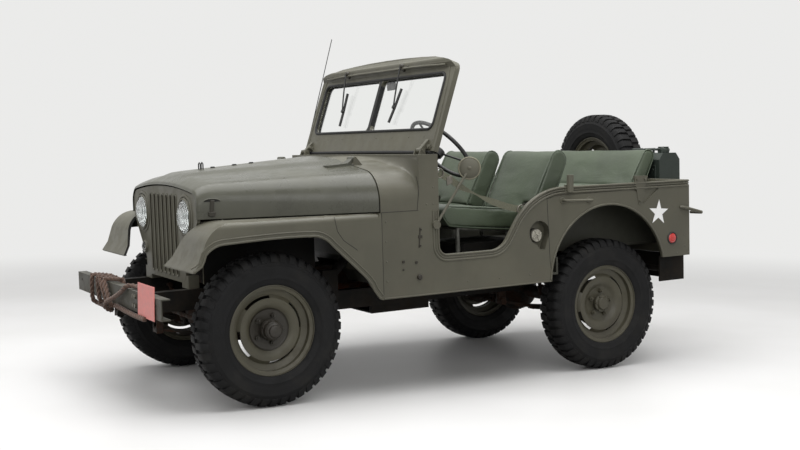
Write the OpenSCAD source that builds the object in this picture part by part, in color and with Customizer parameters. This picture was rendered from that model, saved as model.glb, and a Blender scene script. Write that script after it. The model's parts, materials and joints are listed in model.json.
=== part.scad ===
// Open quarter-ton utility 4x4 with folding windscreen, all sizes in millimetres.
// +X is forwards, +Y is the vehicle's left, +Z is up and z = 0 is the ground.
// Running gear is drawn level; frame and body are drawn level too, then raked nose-down.

/* [Running gear] */
// Distance between the axles
wheelbase = 2057; // [1900:1:2300]
// Distance between the centre planes of the left and right tyres
track = 1245; // [1180:1:1300]
// Tyre radius, which is also the axle height
tyre_r = 372; // [350:1:395]
// Width of the tyre section
tyre_w = 178; // [160:1:186]
// Radius of the rim flange
rim_r = 221; // [205:1:230]
// Width over the rim flanges
rim_w = 132; // [110:1:140]
// Distance of each kingpin from the tyre's centre plane
kingpin_offset = 102.5; // [96:0.5:115]
// Radius of the wheel spindle
spindle_r = 30; // [24:1:34]
// Length of the steering arm
steer_arm = 190; // [176:1:200]

/* [Frame] */
// Width over the frame rails
frame_w = 730; // [680:1:740]
// Width of one frame rail
rail_w = 57; // [40:1:70]
// Height of one frame rail
rail_h = 100; // [80:1:110]
// Front bumper length
bumper_l = 1480; // [1200:1:1530]
// Front bumper height
bumper_h = 100; // [80:1:120]
// Depth of the front bumper's flanges
bumper_d = 45; // [30:1:60]
// Width of a leaf spring
spring_w = 45; // [38:1:50]

/* [Body] */
// Width over the tub
body_w = 1530; // [1480:1:1545]
// Width over the front fenders
fender_w = 1546; // [1500:1:1560]
// Nose-down rake of frame and body, in degrees
body_rake = 2; // [0:0.25:3]
// Thickness of a body wall with its flanges
wall = 16; // [10:1:20]
// Height of the sill's bottom edge
sill_z = 510; // [480:1:530]
// Height of the door opening's bottom edge
door_z = 713; // [680:1:740]
// Height of the tub's top rail
rail_top_z = 1025; // [980:1:1060]
// Height of the bonnet's lower edge
bonnet_z = 951; // [935:1:965]
// Half width of the bonnet at its front edge
bonnet_front_y = 522; // [500:1:560]
// Radius of the rear wheel arch
arch_r = 408; // [395:1:420]

/* [Windscreen] */
// Lean of the windscreen from upright, in degrees
screen_lean = 19; // [10:1:25]
// Height of the windscreen at its middle, along its slope
screen_h = 540; // [500:1:580]
// Width of the windscreen frame
screen_w = 1540; // [1450:1:1545]

/* [Cockpit] */
// Radius of the steering wheel rim
wheel_rim_r = 214; // [190:1:230]
// Width of a front seat
seat_w = 480; // [440:1:520]
// Width of the rear bench
bench_w = 900; // [800:1:960]

/* [Hidden] */
$fn = 64;

olive = "#4b4a3c";
olive_dark = "#3a392e";
seat_green = "#4e5e46";
rubber_black = "#1c1c1c";
steel_dark = "#2b2825";
black = "#151515";

// Gap between pieces that seat on each other, and running clearance of pins in bores
seat_gap = 0.3;
pin_gap = 0.05;
move_gap = 5;
eps = 1;

// Places along the vehicle are counted from the point midway between the axles
axle_mid = 130;
front_x = wheelbase / 2;
rear_x = -wheelbase / 2;
rake_pivot = 550;

// ---------------------------------------------------------------- placing helpers
module level() translate([axle_mid, 0, 0]) children();
module raked()
    translate([axle_mid, 0, rake_pivot]) rotate([0, body_rake, 0])
    translate([0, 0, -rake_pivot]) children();
module both_sides() { children(); mirror([0, 1, 0]) children(); }
// An (x, z) outline extruded from y0 to y1
module across(y0, y1)
    translate([0, y1, 0]) rotate([90, 0, 0]) linear_extrude(y1 - y0) children();
// A (y, z) outline extruded from x0 to x1
module along(x0, x1)
    translate([x0, 0, 0]) rotate([90, 0, 90]) linear_extrude(x1 - x0) children();
module block(lo, hi) translate(lo) cube(hi - lo);
// A cylinder along Y through (x, z)
module rod_y(x, z, r, y0, y1) translate([x, y0, z]) rotate([-90, 0, 0]) cylinder(r = r, h = y1 - y0);
// A cylinder along X through (y, z)
module rod_x(y, z, r, x0, x1) translate([x0, y, z]) rotate([0, 90, 0]) cylinder(r = r, h = x1 - x0);
// A round bar between two points
module bar(a, b, r) {
    d = b - a;
    translate(a) rotate([0, acos(d[2] / norm(d)), atan2(d[1], d[0])]) cylinder(r = r, h = norm(d));
}
// A round bar through a list of points, with ball corners
module bent_bar(points, r) {
    for (i = [0 : len(points) - 2]) bar(points[i], points[i + 1], r);
    for (i = [1 : len(points) - 2]) translate(points[i]) sphere(r = r + 0.6);
}
function arc(cx, cy, r, a0, a1, n = 12) =
    [for (i = [0 : n]) let (a = a0 + (a1 - a0) * i / n) [cx + r * cos(a), cy + r * sin(a)]];
function mix(a, b, t) = a + (b - a) * t;
function smooth(t) = let (u = min(1, max(0, t))) u * u * (3 - 2 * u);

// ---------------------------------------------------------------- frame
rail_out = frame_w / 2;
rail_in = rail_out - rail_w;
horn_x = 1552;
horn_z = 500;
mid_rail_z = 420;
tail_rail_z = 462;
tail_x = -1584;
function rail_line(up) = [
    [horn_x, horn_z + up], [1220, horn_z + up], [740, mid_rail_z + up],
    [-600, mid_rail_z + up], [-860, tail_rail_z + up], [tail_x + seat_gap, tail_rail_z + up]];
function reversed(list) = [for (i = [len(list) - 1 : -1 : 0]) list[i]];

bumperette_z = [430, 580];
bumperette_y = 690;
plate_t = 10;
pintle_z = 510;
pintle_r = 20;
mid_member_x = [640, 700];
skid_z = 372;
function body_mounts() = [[250, mid_rail_z + rail_h - eps, floor_z - floor_t - seat_gap],
               [-400, mid_rail_z + rail_h - eps, floor_z - floor_t - seat_gap],
               [-1250, tail_rail_z + rail_h - eps, rear_floor_z - floor_t - seat_gap]];

module frame() color(olive_dark) raked() {
    g = seat_gap;
    // Rails with the body mounts on them
    both_sides() across(rail_in, rail_out) polygon(concat(rail_line(rail_h), reversed(rail_line(0))));
    both_sides() for (m = body_mounts()) translate([m[0], rail_out - rail_w / 2, m[1]]) cylinder(r = 24, h = m[2] - m[1]);
    // Cross members, seated between the rails
    rod_y(1490, horn_z + rail_h / 2, 30, -rail_in + g, rail_in - g);
    block([mid_member_x[0], -rail_in + g, 455], [mid_member_x[1], rail_in - g, 505]);
    block([-420, -rail_in + g, mid_rail_z + 20], [-360, rail_in - g, mid_rail_z + 80]);
    // Skid plate under the transfer case, hung from the rails
    block([-60, -rail_in - eps, skid_z], [300, rail_in + eps, skid_z + 8]);
    both_sides() block([-60, rail_in - 8, skid_z], [300, rail_in + 20, mid_rail_z - g]);
    // Rear cross member with its corner plates, and the pintle bracket
    difference() {
        block([tail_x - 16, -bumperette_y, bumperette_z[0]], [tail_x, bumperette_y, bumperette_z[1]]);
        rod_x(0, pintle_z, pintle_r, tail_x - 20, tail_x + 4);
    }
    both_sides() {
        block([tail_x - 40, bumperette_y - plate_t, bumperette_z[0]], [tail_x + 150, bumperette_y, bumperette_z[1]]);
        bar([tail_x + 100, rail_out + g, 500], [tail_x + 100, bumperette_y - eps, 500], 18);
    }
    difference() {
        block([tail_x - 76, -55, pintle_z - 60], [tail_x - 16 + eps, 55, pintle_z + 60]);
        rod_x(0, pintle_z, pintle_r, tail_x - 80, tail_x);
    }
}

bumper_x = 1597;
bumper_t = 6;
bumper_top = horn_z + rail_h / 2 + bumper_h / 2 + 16;
module front_bumper() color(olive) raked() {
    l = bumper_l / 2;
    z1 = bumper_top;
    z0 = z1 - bumper_h;
    difference() {
        union() {
            block([bumper_x - bumper_t, -l, z0], [bumper_x, l, z1]);
            for (z = [z0, z1 - bumper_t])
                block([bumper_x - bumper_d, -l, z], [bumper_x, l, z + bumper_t]);
            // Pads that carry the bumper on the frame horns
            both_sides() block([horn_x, rail_in, z0 + eps], [bumper_x - eps, rail_out, z1 - eps]);
        }
        both_sides() rod_x(l - 75, (z0 + z1) / 2 + 12, 9, bumper_x - 20, bumper_x + 1);
    }
}

// ---------------------------------------------------------------- tow rope, wound on the bumper
rope_r = 12;
rope_gap = 3;
// Front, back, top and bottom runs of the rope's centre line around the bumper
rf = bumper_x + rope_r + rope_gap;
rb = bumper_x - bumper_d - rope_r - rope_gap;
rt = bumper_top + rope_r + rope_gap;
rd = bumper_top - bumper_h - rope_r - rope_gap;
rc = 12;
// Over the top towards the front, and under the bumper towards the back, from y0 to y1
function over(y0, y1) = [[rb, y0, rt - rc], [rb + rc, y0, rt], [rf - rc, y1, rt], [rf, y1, rt - rc]];
function under(y0, y1) = [[rf, y0, rd + rc], [rf - rc, y0, rd], [rb + rc, y1, rd], [rb, y1, rd + rc]];
rope_path = concat(
    [[rf, 534, 503], [rf, 375, 503], [rf, 207, 508], [rf, 90, 514]],
    under(50, 20), over(-60, -140), under(-45, -66), over(-175, -222), under(-105, -132), over(-245, -272),
    under(-250, -262), over(-288, -386), [[rf, -396, rd + rc], [rf - 10, -398, rd - 14]],
    [[rf - 30, -370, rd - 27], [rf - 30, -150, rd - 29], [rf - 8, -82, rd - 26], [rf + 22, -60, rd - 6],
     [rf + 26, -30, rd + 24], [rf + 14, 80, rt - 70], [rf + 5, 190, rt - 30], [rf + 1, 224, rt - 10],
     [rf - 12, 250, rt + 2], [rf - 40, 300, rt], [rf - 42, 445, rt]]);
rope_sides = 8;
rope_n = len(rope_path);
function unit(v) = v / norm(v);
function carried(u, d) = unit(u - (u * d) * d);
rope_dirs = [for (i = [0 : rope_n - 1]) unit(unit(rope_path[min(rope_n - 1, i + 1)] - rope_path[min(rope_n - 2, i)])
                                             + unit(rope_path[max(1, i)] - rope_path[max(0, i - 1)]))];
// One side vector per point, carried along the path so that the tube does not twist
rope_us = [for (i = 0, u = carried([0, 0.2, 1], rope_dirs[0]); i < rope_n;
                i = i + 1, u = carried(u, rope_dirs[min(i, rope_n - 1)])) u];
function rope_ring(i) = let (u = rope_us[i], v = cross(rope_dirs[i], u))
    [for (k = [0 : rope_sides - 1]) let (a = 360 * k / rope_sides) rope_path[i] + rope_r * (cos(a) * u + sin(a) * v)];
module tube_along(rings, sides) {
    n = len(rings);
    polyhedron(
        points = [for (ring = rings) each ring],
        faces = concat(
            [[for (k = [0 : sides - 1]) k]],
            [for (i = [0 : n - 2], k = [0 : sides - 1]) let (a = i * sides + k, b = i * sides + (k + 1) % sides)
                each [[a, a + sides, b], [b, a + sides, b + sides]]],
            [[for (k = [sides - 1 : -1 : 0]) (n - 1) * sides + k]]));
}
module tow_rope() color("#6b5644") raked()
    tube_along([for (i = [0 : rope_n - 1]) rope_ring(i)], rope_sides);

// ---------------------------------------------------------------- axles, knuckles and hubs
axle_tube_r = 38;
diff_r = 130;
diff_y = -180;
kingpin_y = track / 2 - kingpin_offset;
ball_r = 70;
shell_in = ball_r + 5;
shell_out = shell_in + 12;
kingpin_r = 14;
kingpin_h = 104;
drum_r = 128;
drum_depth = 45;
backing_z = [-drum_depth - 5, -drum_depth - 1];
hub_r = 46;
front_spindle_end = 60;
rear_spindle_end = 36;
axle_z = tyre_r;

module differential(x, pinion_dir) {
    translate([x, diff_y, axle_z]) {
        sphere(r = diff_r);
        bar([0, 0, 0], [pinion_dir * 195, 0, 22], 42);
    }
}
// Backing plate and spindle, in a wheel's own coordinates: z runs outwards along the axle
module spindle(end) {
    translate([0, 0, backing_z[0]]) cylinder(r = drum_r + 4, h = backing_z[1] - backing_z[0]);
    translate([0, 0, backing_z[0] - 40]) cylinder(r = spindle_r + 12, h = 44);
    translate([0, 0, backing_z[0]]) cylinder(r = spindle_r, h = end - backing_z[0]);
}
// Children drawn along +Z land on the wheel centre, pointing outwards
module at_wheel(x, side)
    translate([x, side * track / 2, axle_z]) rotate([-90 * side, 0, 0]) children();

module front_axle() color(steel_dark) level() {
    rod_y(front_x, axle_z, axle_tube_r, -kingpin_y, kingpin_y);
    differential(front_x, -1);
    both_sides() translate([front_x, kingpin_y, axle_z]) {
        sphere(r = ball_r);
        translate([0, 0, -kingpin_h]) cylinder(r = kingpin_r, h = 2 * kingpin_h);
    }
}
module rear_axle() color(steel_dark) level() {
    rod_y(rear_x, axle_z, axle_tube_r, -track / 2 - backing_z[0], track / 2 + backing_z[0]);
    differential(rear_x, 1);
    for (side = [-1, 1]) at_wheel(rear_x, side) spindle(rear_spindle_end);
}
steer_pin_r = 8;

arm_z = -34;
arm_t = 16;
rod_eye_z = [-13, 13];
module knuckle() {
    difference() {
        union() {
            difference() {
                sphere(r = shell_out);
                translate([-150, -300, -150]) cube([300, 275, 300]);
            }
            for (s = [-1, 1]) translate([0, 0, s > 0 ? shell_in : -kingpin_h]) cylinder(r = 27, h = kingpin_h - shell_in);
            translate([0, kingpin_offset, 0]) rotate([-90, 0, 0]) spindle(front_spindle_end);
            // Steering arm, reaching forwards below the tie rod
            translate([0, 0, arm_z - arm_t]) {
                translate([60, -15, 0]) cube([steer_arm - 60, 30, arm_t]);
                translate([steer_arm, 0, 0]) cylinder(r = 19, h = arm_t);
            }
            translate([steer_arm, 0, arm_z - arm_t]) cylinder(r = steer_pin_r, h = arm_t - arm_z + rod_eye_z[1] + 3);
        }
        sphere(r = shell_in);
        translate([0, 0, -kingpin_h - 1]) cylinder(r = kingpin_r + pin_gap, h = 2 * kingpin_h + 2);
    }
}
module knuckle_left() color(steel_dark) level() translate([front_x, kingpin_y, axle_z]) knuckle();
module knuckle_right() color(steel_dark) level()
    mirror([0, 1, 0]) translate([front_x, kingpin_y, axle_z]) knuckle();

tie_rod_r = 13;
module tie_rod() color(steel_dark) level() translate([front_x + steer_arm, 0, axle_z]) {
    difference() {
        union() {
            rod_y(0, 0, tie_rod_r - 2, -kingpin_y, kingpin_y);
            for (s = [-1, 1]) translate([0, s * kingpin_y, rod_eye_z[0]]) cylinder(r = 19, h = rod_eye_z[1] - rod_eye_z[0]);
        }
        for (s = [-1, 1]) translate([0, s * kingpin_y, -30]) cylinder(r = steer_pin_r + pin_gap, h = 60);
    }
}

// ---------------------------------------------------------------- wheels and tyres
rim_t = 5;
bead_r = rim_r - 17;
well_r = rim_r - 46;
half_rim = rim_w / 2;
tyre_wall = 13;
tread_w = tyre_w * 0.74;
// Half section of the rim's outer (tyre) side, from flange to well
rim_side = [[rim_r, half_rim], [rim_r, half_rim - 7], [bead_r, half_rim - 13], [bead_r, 30], [well_r, 18]];
module rim_profile() {
    upper = rim_side;
    lower = [for (p = reversed(rim_side)) [p[0], -p[1]]];
    inner = [[rim_r - rim_t, -half_rim], [bead_r - rim_t, -half_rim + 9], [bead_r - rim_t, -28], [well_r - rim_t, -16]];
    polygon(concat(upper, lower, inner, [for (p = reversed(inner)) [p[0], -p[1]]]));
}
disc_z = 24;
dish_z = 6;
dish_r = 106;
module disc_profile()
    polygon([[hub_r - 2, dish_z - 5], [dish_r - 4, dish_z - 5], [dish_r + 10, disc_z - 3],
             [well_r - 25, disc_z + 2], [well_r - rim_t + 3, 8], [well_r - rim_t + 3, 14],
             [well_r - 23, disc_z + 8], [dish_r + 8, disc_z + 3], [dish_r - 8, dish_z + 1], [hub_r - 2, dish_z + 1]]);
module drum_profile()
    polygon([[drum_r - 10, -drum_depth], [drum_r, -drum_depth], [drum_r, dish_z - 5], [hub_r - 2, dish_z - 5],
             [hub_r - 2, dish_z - 12], [drum_r - 10, dish_z - 12]]);
hub_in = -10;
module road_wheel(spindle_end, cap_end, cap_r) {
    difference() {
        union() {
            rotate_extrude() { rim_profile(); disc_profile(); }
            rotate_extrude() drum_profile();
            translate([0, 0, hub_in]) cylinder(r = hub_r, h = spindle_end - hub_in);
            cylinder(r = cap_r, h = cap_end);
            cylinder(r = cap_r + 10, h = spindle_end + 6);
        }
        translate([0, 0, hub_in - 1]) cylinder(r = spindle_r + pin_gap, h = spindle_end + 2 - hub_in + 1);
    }
}
// Tyre section: outside from bead to tread, then the cavity back
module tyre_profile() {
    w = tyre_w / 2;
    g = seat_gap;
    outer = [[bead_r + g, half_rim - 13 - g], [rim_r + g, half_rim - 7 - 2 * g], [rim_r + g, half_rim + 1],
             [rim_r + 10, half_rim + 9], [rim_r + 34, w - 5], [rim_r + 66, w],
             [tyre_r - 34, w - 6], [tyre_r - 14, tread_w / 2 + 8], [tyre_r, tread_w / 2 - 2]];
    inner = [[bead_r + g, 32], [bead_r + 14, half_rim - 32], [rim_r + 28, w - 5 - tyre_wall], [rim_r + 66, w - tyre_wall],
             [tyre_r - 42, w - 10 - tyre_wall], [tyre_r - 28, tread_w / 2 - 16]];
    low = function (list) [for (p = list) [p[0], -p[1]]];
    polygon(concat(outer, low(reversed(outer)), low(inner), reversed(inner)));
}
module tyre() rotate_extrude($fn = 96) tyre_profile();
module front_wheel() road_wheel(front_spindle_end, 98, 27);
module rear_wheel() road_wheel(rear_spindle_end, 52, 34);

spare_at = [-1810, -290, 1062];
module at_spare() raked() translate(spare_at) rotate([0, -90, 0]) children();
carrier_r = 45;
carrier_face = dish_z - 5 - seat_gap;

module spare_disc() difference() {
    union() {
        rotate_extrude() rim_profile();
        rotate_extrude() disc_profile();
    }
    for (i = [0 : 4]) rotate([0, 0, 72 * i]) translate([69.85, 0, 0]) cylinder(r = 7, h = 40, center = true);
}

// ---------------------------------------------------------------- springs and dampers
spring_y = rail_out - 5 - spring_w / 2;
leaf_t = 9;
leaf_count = 4;
spring_top = axle_z - axle_tube_r - seat_gap;
spring_low = spring_top - leaf_t * leaf_count;
eye_r = 18;
module leaf_pack(x, half_span, rise) {
    r = (half_span * half_span + rise * rise) / (2 * rise);
    cz = spring_top - leaf_t + r;
    a = asin(half_span / r);
    across(spring_y - spring_w / 2, spring_y + spring_w / 2) {
        for (i = [0 : leaf_count - 1])
            let (k = 1 - i * 0.22)
            polygon(concat(arc(x, cz, r + leaf_t * i + 0.01, -90 - a * k, -90 + a * k, 16),
                           reversed(arc(x, cz, r + leaf_t * i - leaf_t, -90 - a * k, -90 + a * k, 16))));
        for (s = [-1, 1]) translate([x + s * half_span, spring_top - leaf_t / 2 + rise]) circle(r = eye_r);
    }
}
// Shackle of length h (0 for a plain pivot) and the hanger under the rail, for an eye at (x, z)
module shackle(x, z, rail_z, h) {
    level() {
        for (s = [-1, 1])
            across(spring_y + s * (spring_w / 2 + 4) - 4, spring_y + s * (spring_w / 2 + 4) + 4)
                translate([x - 16, z - 16]) square([32, h + 40]);
        rod_y(x, z + h, 10, spring_y - spring_w / 2 - 8, spring_y + spring_w / 2 + 8);
    }
    intersection() {
        raked() block([x - 40, spring_y - 16, rail_z - 140], [x + 40, spring_y + 16, rail_z]);
        level() block([x - 22, spring_y - 16, z + (h > 0 ? h - 16 : 12)], [x + 22, spring_y + 16, z + 400]);
    }
}
front_span = 455;
rear_span = 480;
front_rise = 36;
rear_rise = 50;
// Spring seat plate under the leaves; its inner end carries the damper, pinned above to the rail
damper_y = rail_in - 30;
module damper(x, pin_z) {
    foot = [x + 100, damper_y, spring_low - 6];
    head = [x + 190, damper_y, pin_z];
    block([x - 62, spring_y - spring_w / 2 - 10, spring_low - 12], [x + 116, spring_y + spring_w / 2 + 12, spring_low + 2]);
    block([x + 82, damper_y - 14, spring_low - 12], [x + 116, spring_y, spring_low + 2]);
    bar(foot, head, 11);
    bar(foot + 0.12 * (head - foot), foot + 0.62 * (head - foot), 20);
    rod_y(head[0], head[2], 13, damper_y - 14, rail_in - seat_gap);
}
module suspension() color(steel_dark) both_sides() {
    level() {
        leaf_pack(front_x, front_span, front_rise);
        leaf_pack(rear_x, rear_span, rear_rise);
    }
    shackle(front_x + front_span, spring_top - leaf_t / 2 + front_rise, horn_z, 52);
    shackle(front_x - front_span, spring_top - leaf_t / 2 + front_rise, mid_rail_z, 0);
    shackle(rear_x + rear_span, spring_top - leaf_t / 2 + rear_rise, mid_rail_z, 0);
    shackle(rear_x - rear_span, spring_top - leaf_t / 2 + rear_rise, tail_rail_z, 60);
    level() {
        damper(front_x, 512);
        damper(rear_x, 540);
    }
}

// ---------------------------------------------------------------- power unit, shafts, exhaust, tank
shaft_y = diff_y;
module powertrain() color(steel_dark) {
    raked() power_blocks();
    level() shafts();
}
module power_blocks() {
    block([560, -150, 575], [1120, 150, 1000]);
    block([560, -110, 515], [860, 110, 575 + eps]);
    both_sides() block([900, 150 - eps, 590], [960, 200, 640]);
    both_sides() block([900, 190, 530], [960, rail_in - seat_gap, 640]);
    block([140, -110, 440], [560 + eps, 110, 630]);
    block([-40, -260, 400], [140 + eps, 60, 530]);
    block([1262, -215, 640], [grille_x[0] - seat_gap, 215, 1050]);
}
module shafts() {
    bar([150, shaft_y, 438], [front_x - 197.5, shaft_y, axle_z + 22], 26);
    bar([-60, shaft_y, 444], [rear_x + 196.9, shaft_y, axle_z + 22], 26);
}
module exhaust() color("#4a3226") raked() {
    bent_bar([[640, 150 + seat_gap, 640], [640, 190, 640], [560, 205, 530], [420, 215, 522], [-640, 215, 522], [-720, 150, 540]], 18);
    bar([-700, 150, 540], [-1140, 150, 545], 60);
    bent_bar([[-1130, 150, 545], [-1360, 170, 570], [-1510, 200, 590]], 18);
}
tank_x = [-528, -126];
tank_y = [200, 560];
module fuel_tank() color(steel_dark) raked() difference() {
    block([tank_x[0], tank_y[0], floor_z + seat_gap], [tank_x[1], tank_y[1], 735]);
    for (y = tank_y) translate([tank_x[1], y, 646]) rotate([0, 0, 45]) cube([40, 40, 200], center = true);
}

// ---------------------------------------------------------------- tub
body_y = body_w / 2;
wall_y = body_y - wall;
cowl_x = 467;
post_x = [127, 243];
tub_rear = -1600;
arch_x = -991;
arch_z = 500;
floor_z = 557;
floor_t = 12;
rear_floor_z = 652;
riser_x = -640;
toe_x = 330;
toe_top = [455, 760];
house_y = 500;
house_x = -590;
house_z = 930;
tunnel_y = 150;

door_slope = 55;
sill_curve = 120;
hip_curve = 400;
door_rear = [-190, -675];
raise_t = 8;
raise_z = 980;

function side_outline() = concat(
    [[cowl_x, sill_z], [cowl_x, bonnet_z - 4], [post_x[0], bonnet_z - 4], [post_x[0], door_z + 45]],
    arc(post_x[0] - 45, door_z + 45, 45, 0, -90, 6),
    arc(door_rear[0], door_z + sill_curve, sill_curve, -90, -90 - door_slope, 10),
    reversed(arc(door_rear[1], rail_top_z - hip_curve, hip_curve, 90, 90 - door_slope, 14)),
    [[tub_rear, rail_top_z], [tub_rear, 582], [arch_x - 400, 582], [house_x + 5, 582], [house_x + 5, sill_z]]);
// Recess above the raised outer skin, with the V-shaped notch of the bow socket
function upper_strip() = [
    [tub_rear - 1, raise_z + 8], [-1370, raise_z + 8], [-1250, 900], [-1190, 975], [-1140, raise_z + 4],
    [-620, raise_z - 6], [-560, raise_z - 20], [-560, rail_top_z + 20], [tub_rear - 1, rail_top_z + 20]];

filler_at = [-507, 782];
filler_r = 66;
filler_depth = 48;
// Teardrop outline of the filler recess, grown outwards by g
module filler_shape(g) translate(filler_at) {
    circle(r = filler_r + g);
    polygon([[-filler_r - g, -10], [-34 - g, -92 - g], [-6 + g, -92 - g], [filler_r + g, -6], [0, 20]]);
}

module body_side(filler) {
    difference() {
        union() {
            across(wall_y, body_y) polygon(side_outline());
            if (filler) across(body_y - filler_depth - 10, wall_y + eps) filler_shape(8);
        }
        rod_y(arch_x, arch_z, arch_r, wall_y - 1, body_y + 1);
        across(body_y - raise_t, body_y + 1) polygon(upper_strip());
        if (filler) across(body_y - filler_depth, body_y + 1) filler_shape(0);
    }
    if (filler) {
        rod_y(filler_at[0] + 12, filler_at[1] - 14, 26, body_y - filler_depth - eps, body_y - 24);
        rod_y(filler_at[0] + 12, filler_at[1] - 14, 33, body_y - 24, body_y - 10);
    }
}
module body_side_left() color(olive) raked() body_side(true);
module body_side_right() color(olive) raked() mirror([0, 1, 0]) body_side(false);

module rear_panel() color(olive) raked() {
    block([tub_rear, -wall_y, 582], [tub_rear + wall, wall_y, rail_top_z]);
    block([tub_rear + wall - eps, -wall_y, rail_top_z - 18], [tub_rear + wall + 18, wall_y, rail_top_z]);
}

column_x0 = -129;
column_z0 = 1245;
column_y = 390;
column_tilt = 42.4;
column_r = 24;
// Children drawn along +Z run down the steering column from the wheel's centre
module along_column() translate([column_x0, column_y, column_z0]) rotate([0, 180 - (90 - column_tilt), 0]) children();

module column_hole() along_column() translate([0, 0, 500]) cylinder(r = column_r + 3, h = 500);
module floor_pan() color(olive_dark) raked() {
    g = seat_gap;
    back = tub_rear + wall + g;
    difference() {
        across(-wall_y + g, wall_y - g) polygon([
            [toe_top[0], toe_top[1]], [toe_top[0] - 14, toe_top[1]], [toe_x, floor_z], [riser_x + floor_t, floor_z],
            [riser_x + floor_t, rear_floor_z], [back, rear_floor_z], [back, rear_floor_z - floor_t],
            [riser_x, rear_floor_z - floor_t], [riser_x, floor_z - floor_t], [toe_x + 8, floor_z - floor_t]]);
        // Wheel houses are open below, the tunnel is open to the gearbox
        both_sides() block([back - 2, house_y + floor_t, rear_floor_z - floor_t - 1], [riser_x + floor_t + 1, wall_y + 1, rear_floor_z + 1]);
        block([-78, -tunnel_y + floor_t, floor_z - 50], [toe_top[0] + 1, tunnel_y - floor_t, 653]);
        column_hole();
    }
    // Wheel houses, seated on the floor
    both_sides() {
        block([back, house_y, rear_floor_z + g], [house_x, house_y + floor_t, house_z]);
        block([back, house_y, house_z - floor_t], [house_x, wall_y - g, house_z]);
        block([house_x - floor_t, house_y, floor_z + g], [house_x, wall_y - g, house_z]);
        block([riser_x + floor_t + g, house_y, floor_z + g], [house_x, house_y + floor_t, rear_floor_z + 5]);
    }
    // Tunnel over the gearbox, seated on the floor and the toe board
    difference() {
        across(-tunnel_y, tunnel_y) polygon([[-90, floor_z + g], [toe_x - 2, floor_z + g],
            [mix(toe_x, toe_top[0] - 14, (665 - floor_z) / (toe_top[1] - floor_z)) - 2, 665], [-90, 665]]);
        block([-78, -tunnel_y + floor_t, floor_z - 50], [toe_top[0] + 1, tunnel_y - floor_t, 653]);
    }
}

// ---------------------------------------------------------------- bonnet and cowl
bonnet_front = 1335;
bonnet_rear = cowl_x + move_gap + 1;
bonnet_t = 10;
bonnet_top = 1217;
shoulder_rear = 160;
shoulder_front = 84;
crown_rear = 57;
crown_front = 30;
bulge_h = 12;

function along_bonnet(x) = (bonnet_front - x) / (bonnet_front - cowl_x);
function nose_drop(x) = 33 * pow(max(0, x - bonnet_front + 110) / 110, 2);
function bonnet_half(x) = mix(bonnet_front_y, body_y, along_bonnet(x));
function bonnet_crown_z(x) = bonnet_top - 0.075 * (x - cowl_x) - nose_drop(x);
function bulge(x, y) = bulge_h * smooth((mix(150, 360, along_bonnet(x)) - abs(y)) / 50 + 0.5)
    * smooth((bonnet_front - 20 - x) / 120);
// Outline points of a bonnet section from the right lower edge over the top to the left, inset by g
function bonnet_section(x, g) =
    let (w = bonnet_half(x) - g, r = mix(shoulder_front, shoulder_rear, along_bonnet(x)) - g,
         crown = mix(crown_front, crown_rear, along_bonnet(x)), top = bonnet_crown_z(x) - g,
         sz = top - crown - r, n_arc = 6, n_top = 16)
    concat(
        [[-w, bonnet_z]],
        [for (i = [0 : n_arc - 1]) let (a = 84 * i / n_arc) [-(w - r) - r * cos(a), sz + r * sin(a)]],
        [for (i = [0 : n_top]) let (y = (w - r) * (2 * i / n_top - 1) * 0.985)
            [y, top - crown * pow(y / (w - r), 2) + bulge(x, y)]],
        [for (i = [n_arc - 1 : -1 : 0]) let (a = 84 * i / n_arc) [(w - r) + r * cos(a), sz + r * sin(a)]],
        [[w, bonnet_z]]);
// Closed shell between an outer and an inner row of sections; each section is a list of (y, z)
module section_shell(xs, outer, inner) {
    m = len(xs);
    n = len(outer[0]);
    pts = concat([for (i = [0 : m - 1], p = outer[i]) [xs[i], p[0], p[1]]],
                 [for (i = [0 : m - 1], p = inner[i]) [xs[i], p[0], p[1]]]);
    q = function (a, b, c, d) [[a, c, b], [a, d, c]];
    o = function (i, j) i * n + j;
    k = function (i, j) m * n + i * n + j;
    polyhedron(pts, concat(
        [for (i = [0 : m - 2], j = [0 : n - 2]) each q(o(i, j), o(i, j + 1), o(i + 1, j + 1), o(i + 1, j))],
        [for (i = [0 : m - 2], j = [0 : n - 2]) each q(k(i, j), k(i + 1, j), k(i + 1, j + 1), k(i, j + 1))],
        [for (j = [0 : n - 2]) each q(o(0, j), k(0, j), k(0, j + 1), o(0, j + 1))],
        [for (j = [0 : n - 2]) each q(o(m - 1, j), o(m - 1, j + 1), k(m - 1, j + 1), k(m - 1, j))],
        [for (i = [0 : m - 2]) each q(o(i, 0), o(i + 1, 0), k(i + 1, 0), k(i, 0))],
        [for (i = [0 : m - 2]) each q(o(i, n - 1), k(i, n - 1), k(i + 1, n - 1), o(i + 1, n - 1))]));
}
bonnet_hinge = [cowl_x - 10, bonnet_top - 1];
bonnet_hinge_y = 450;
hinge_skin_z = 1185;
hinge_pin_r = 5;
barrel_r = 9;
barrel_l = 30;
bonnet_xs = concat([for (i = [0 : 5]) bonnet_front - 22 * i], [for (i = [1 : 8]) mix(bonnet_front - 110, bonnet_rear, i / 8)]);
module bonnet() color(olive) raked() {
    section_shell(bonnet_xs, [for (x = bonnet_xs) bonnet_section(x, 0)], [for (x = bonnet_xs) bonnet_section(x, bonnet_t)]);
    bonnet_hinges();
}
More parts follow.
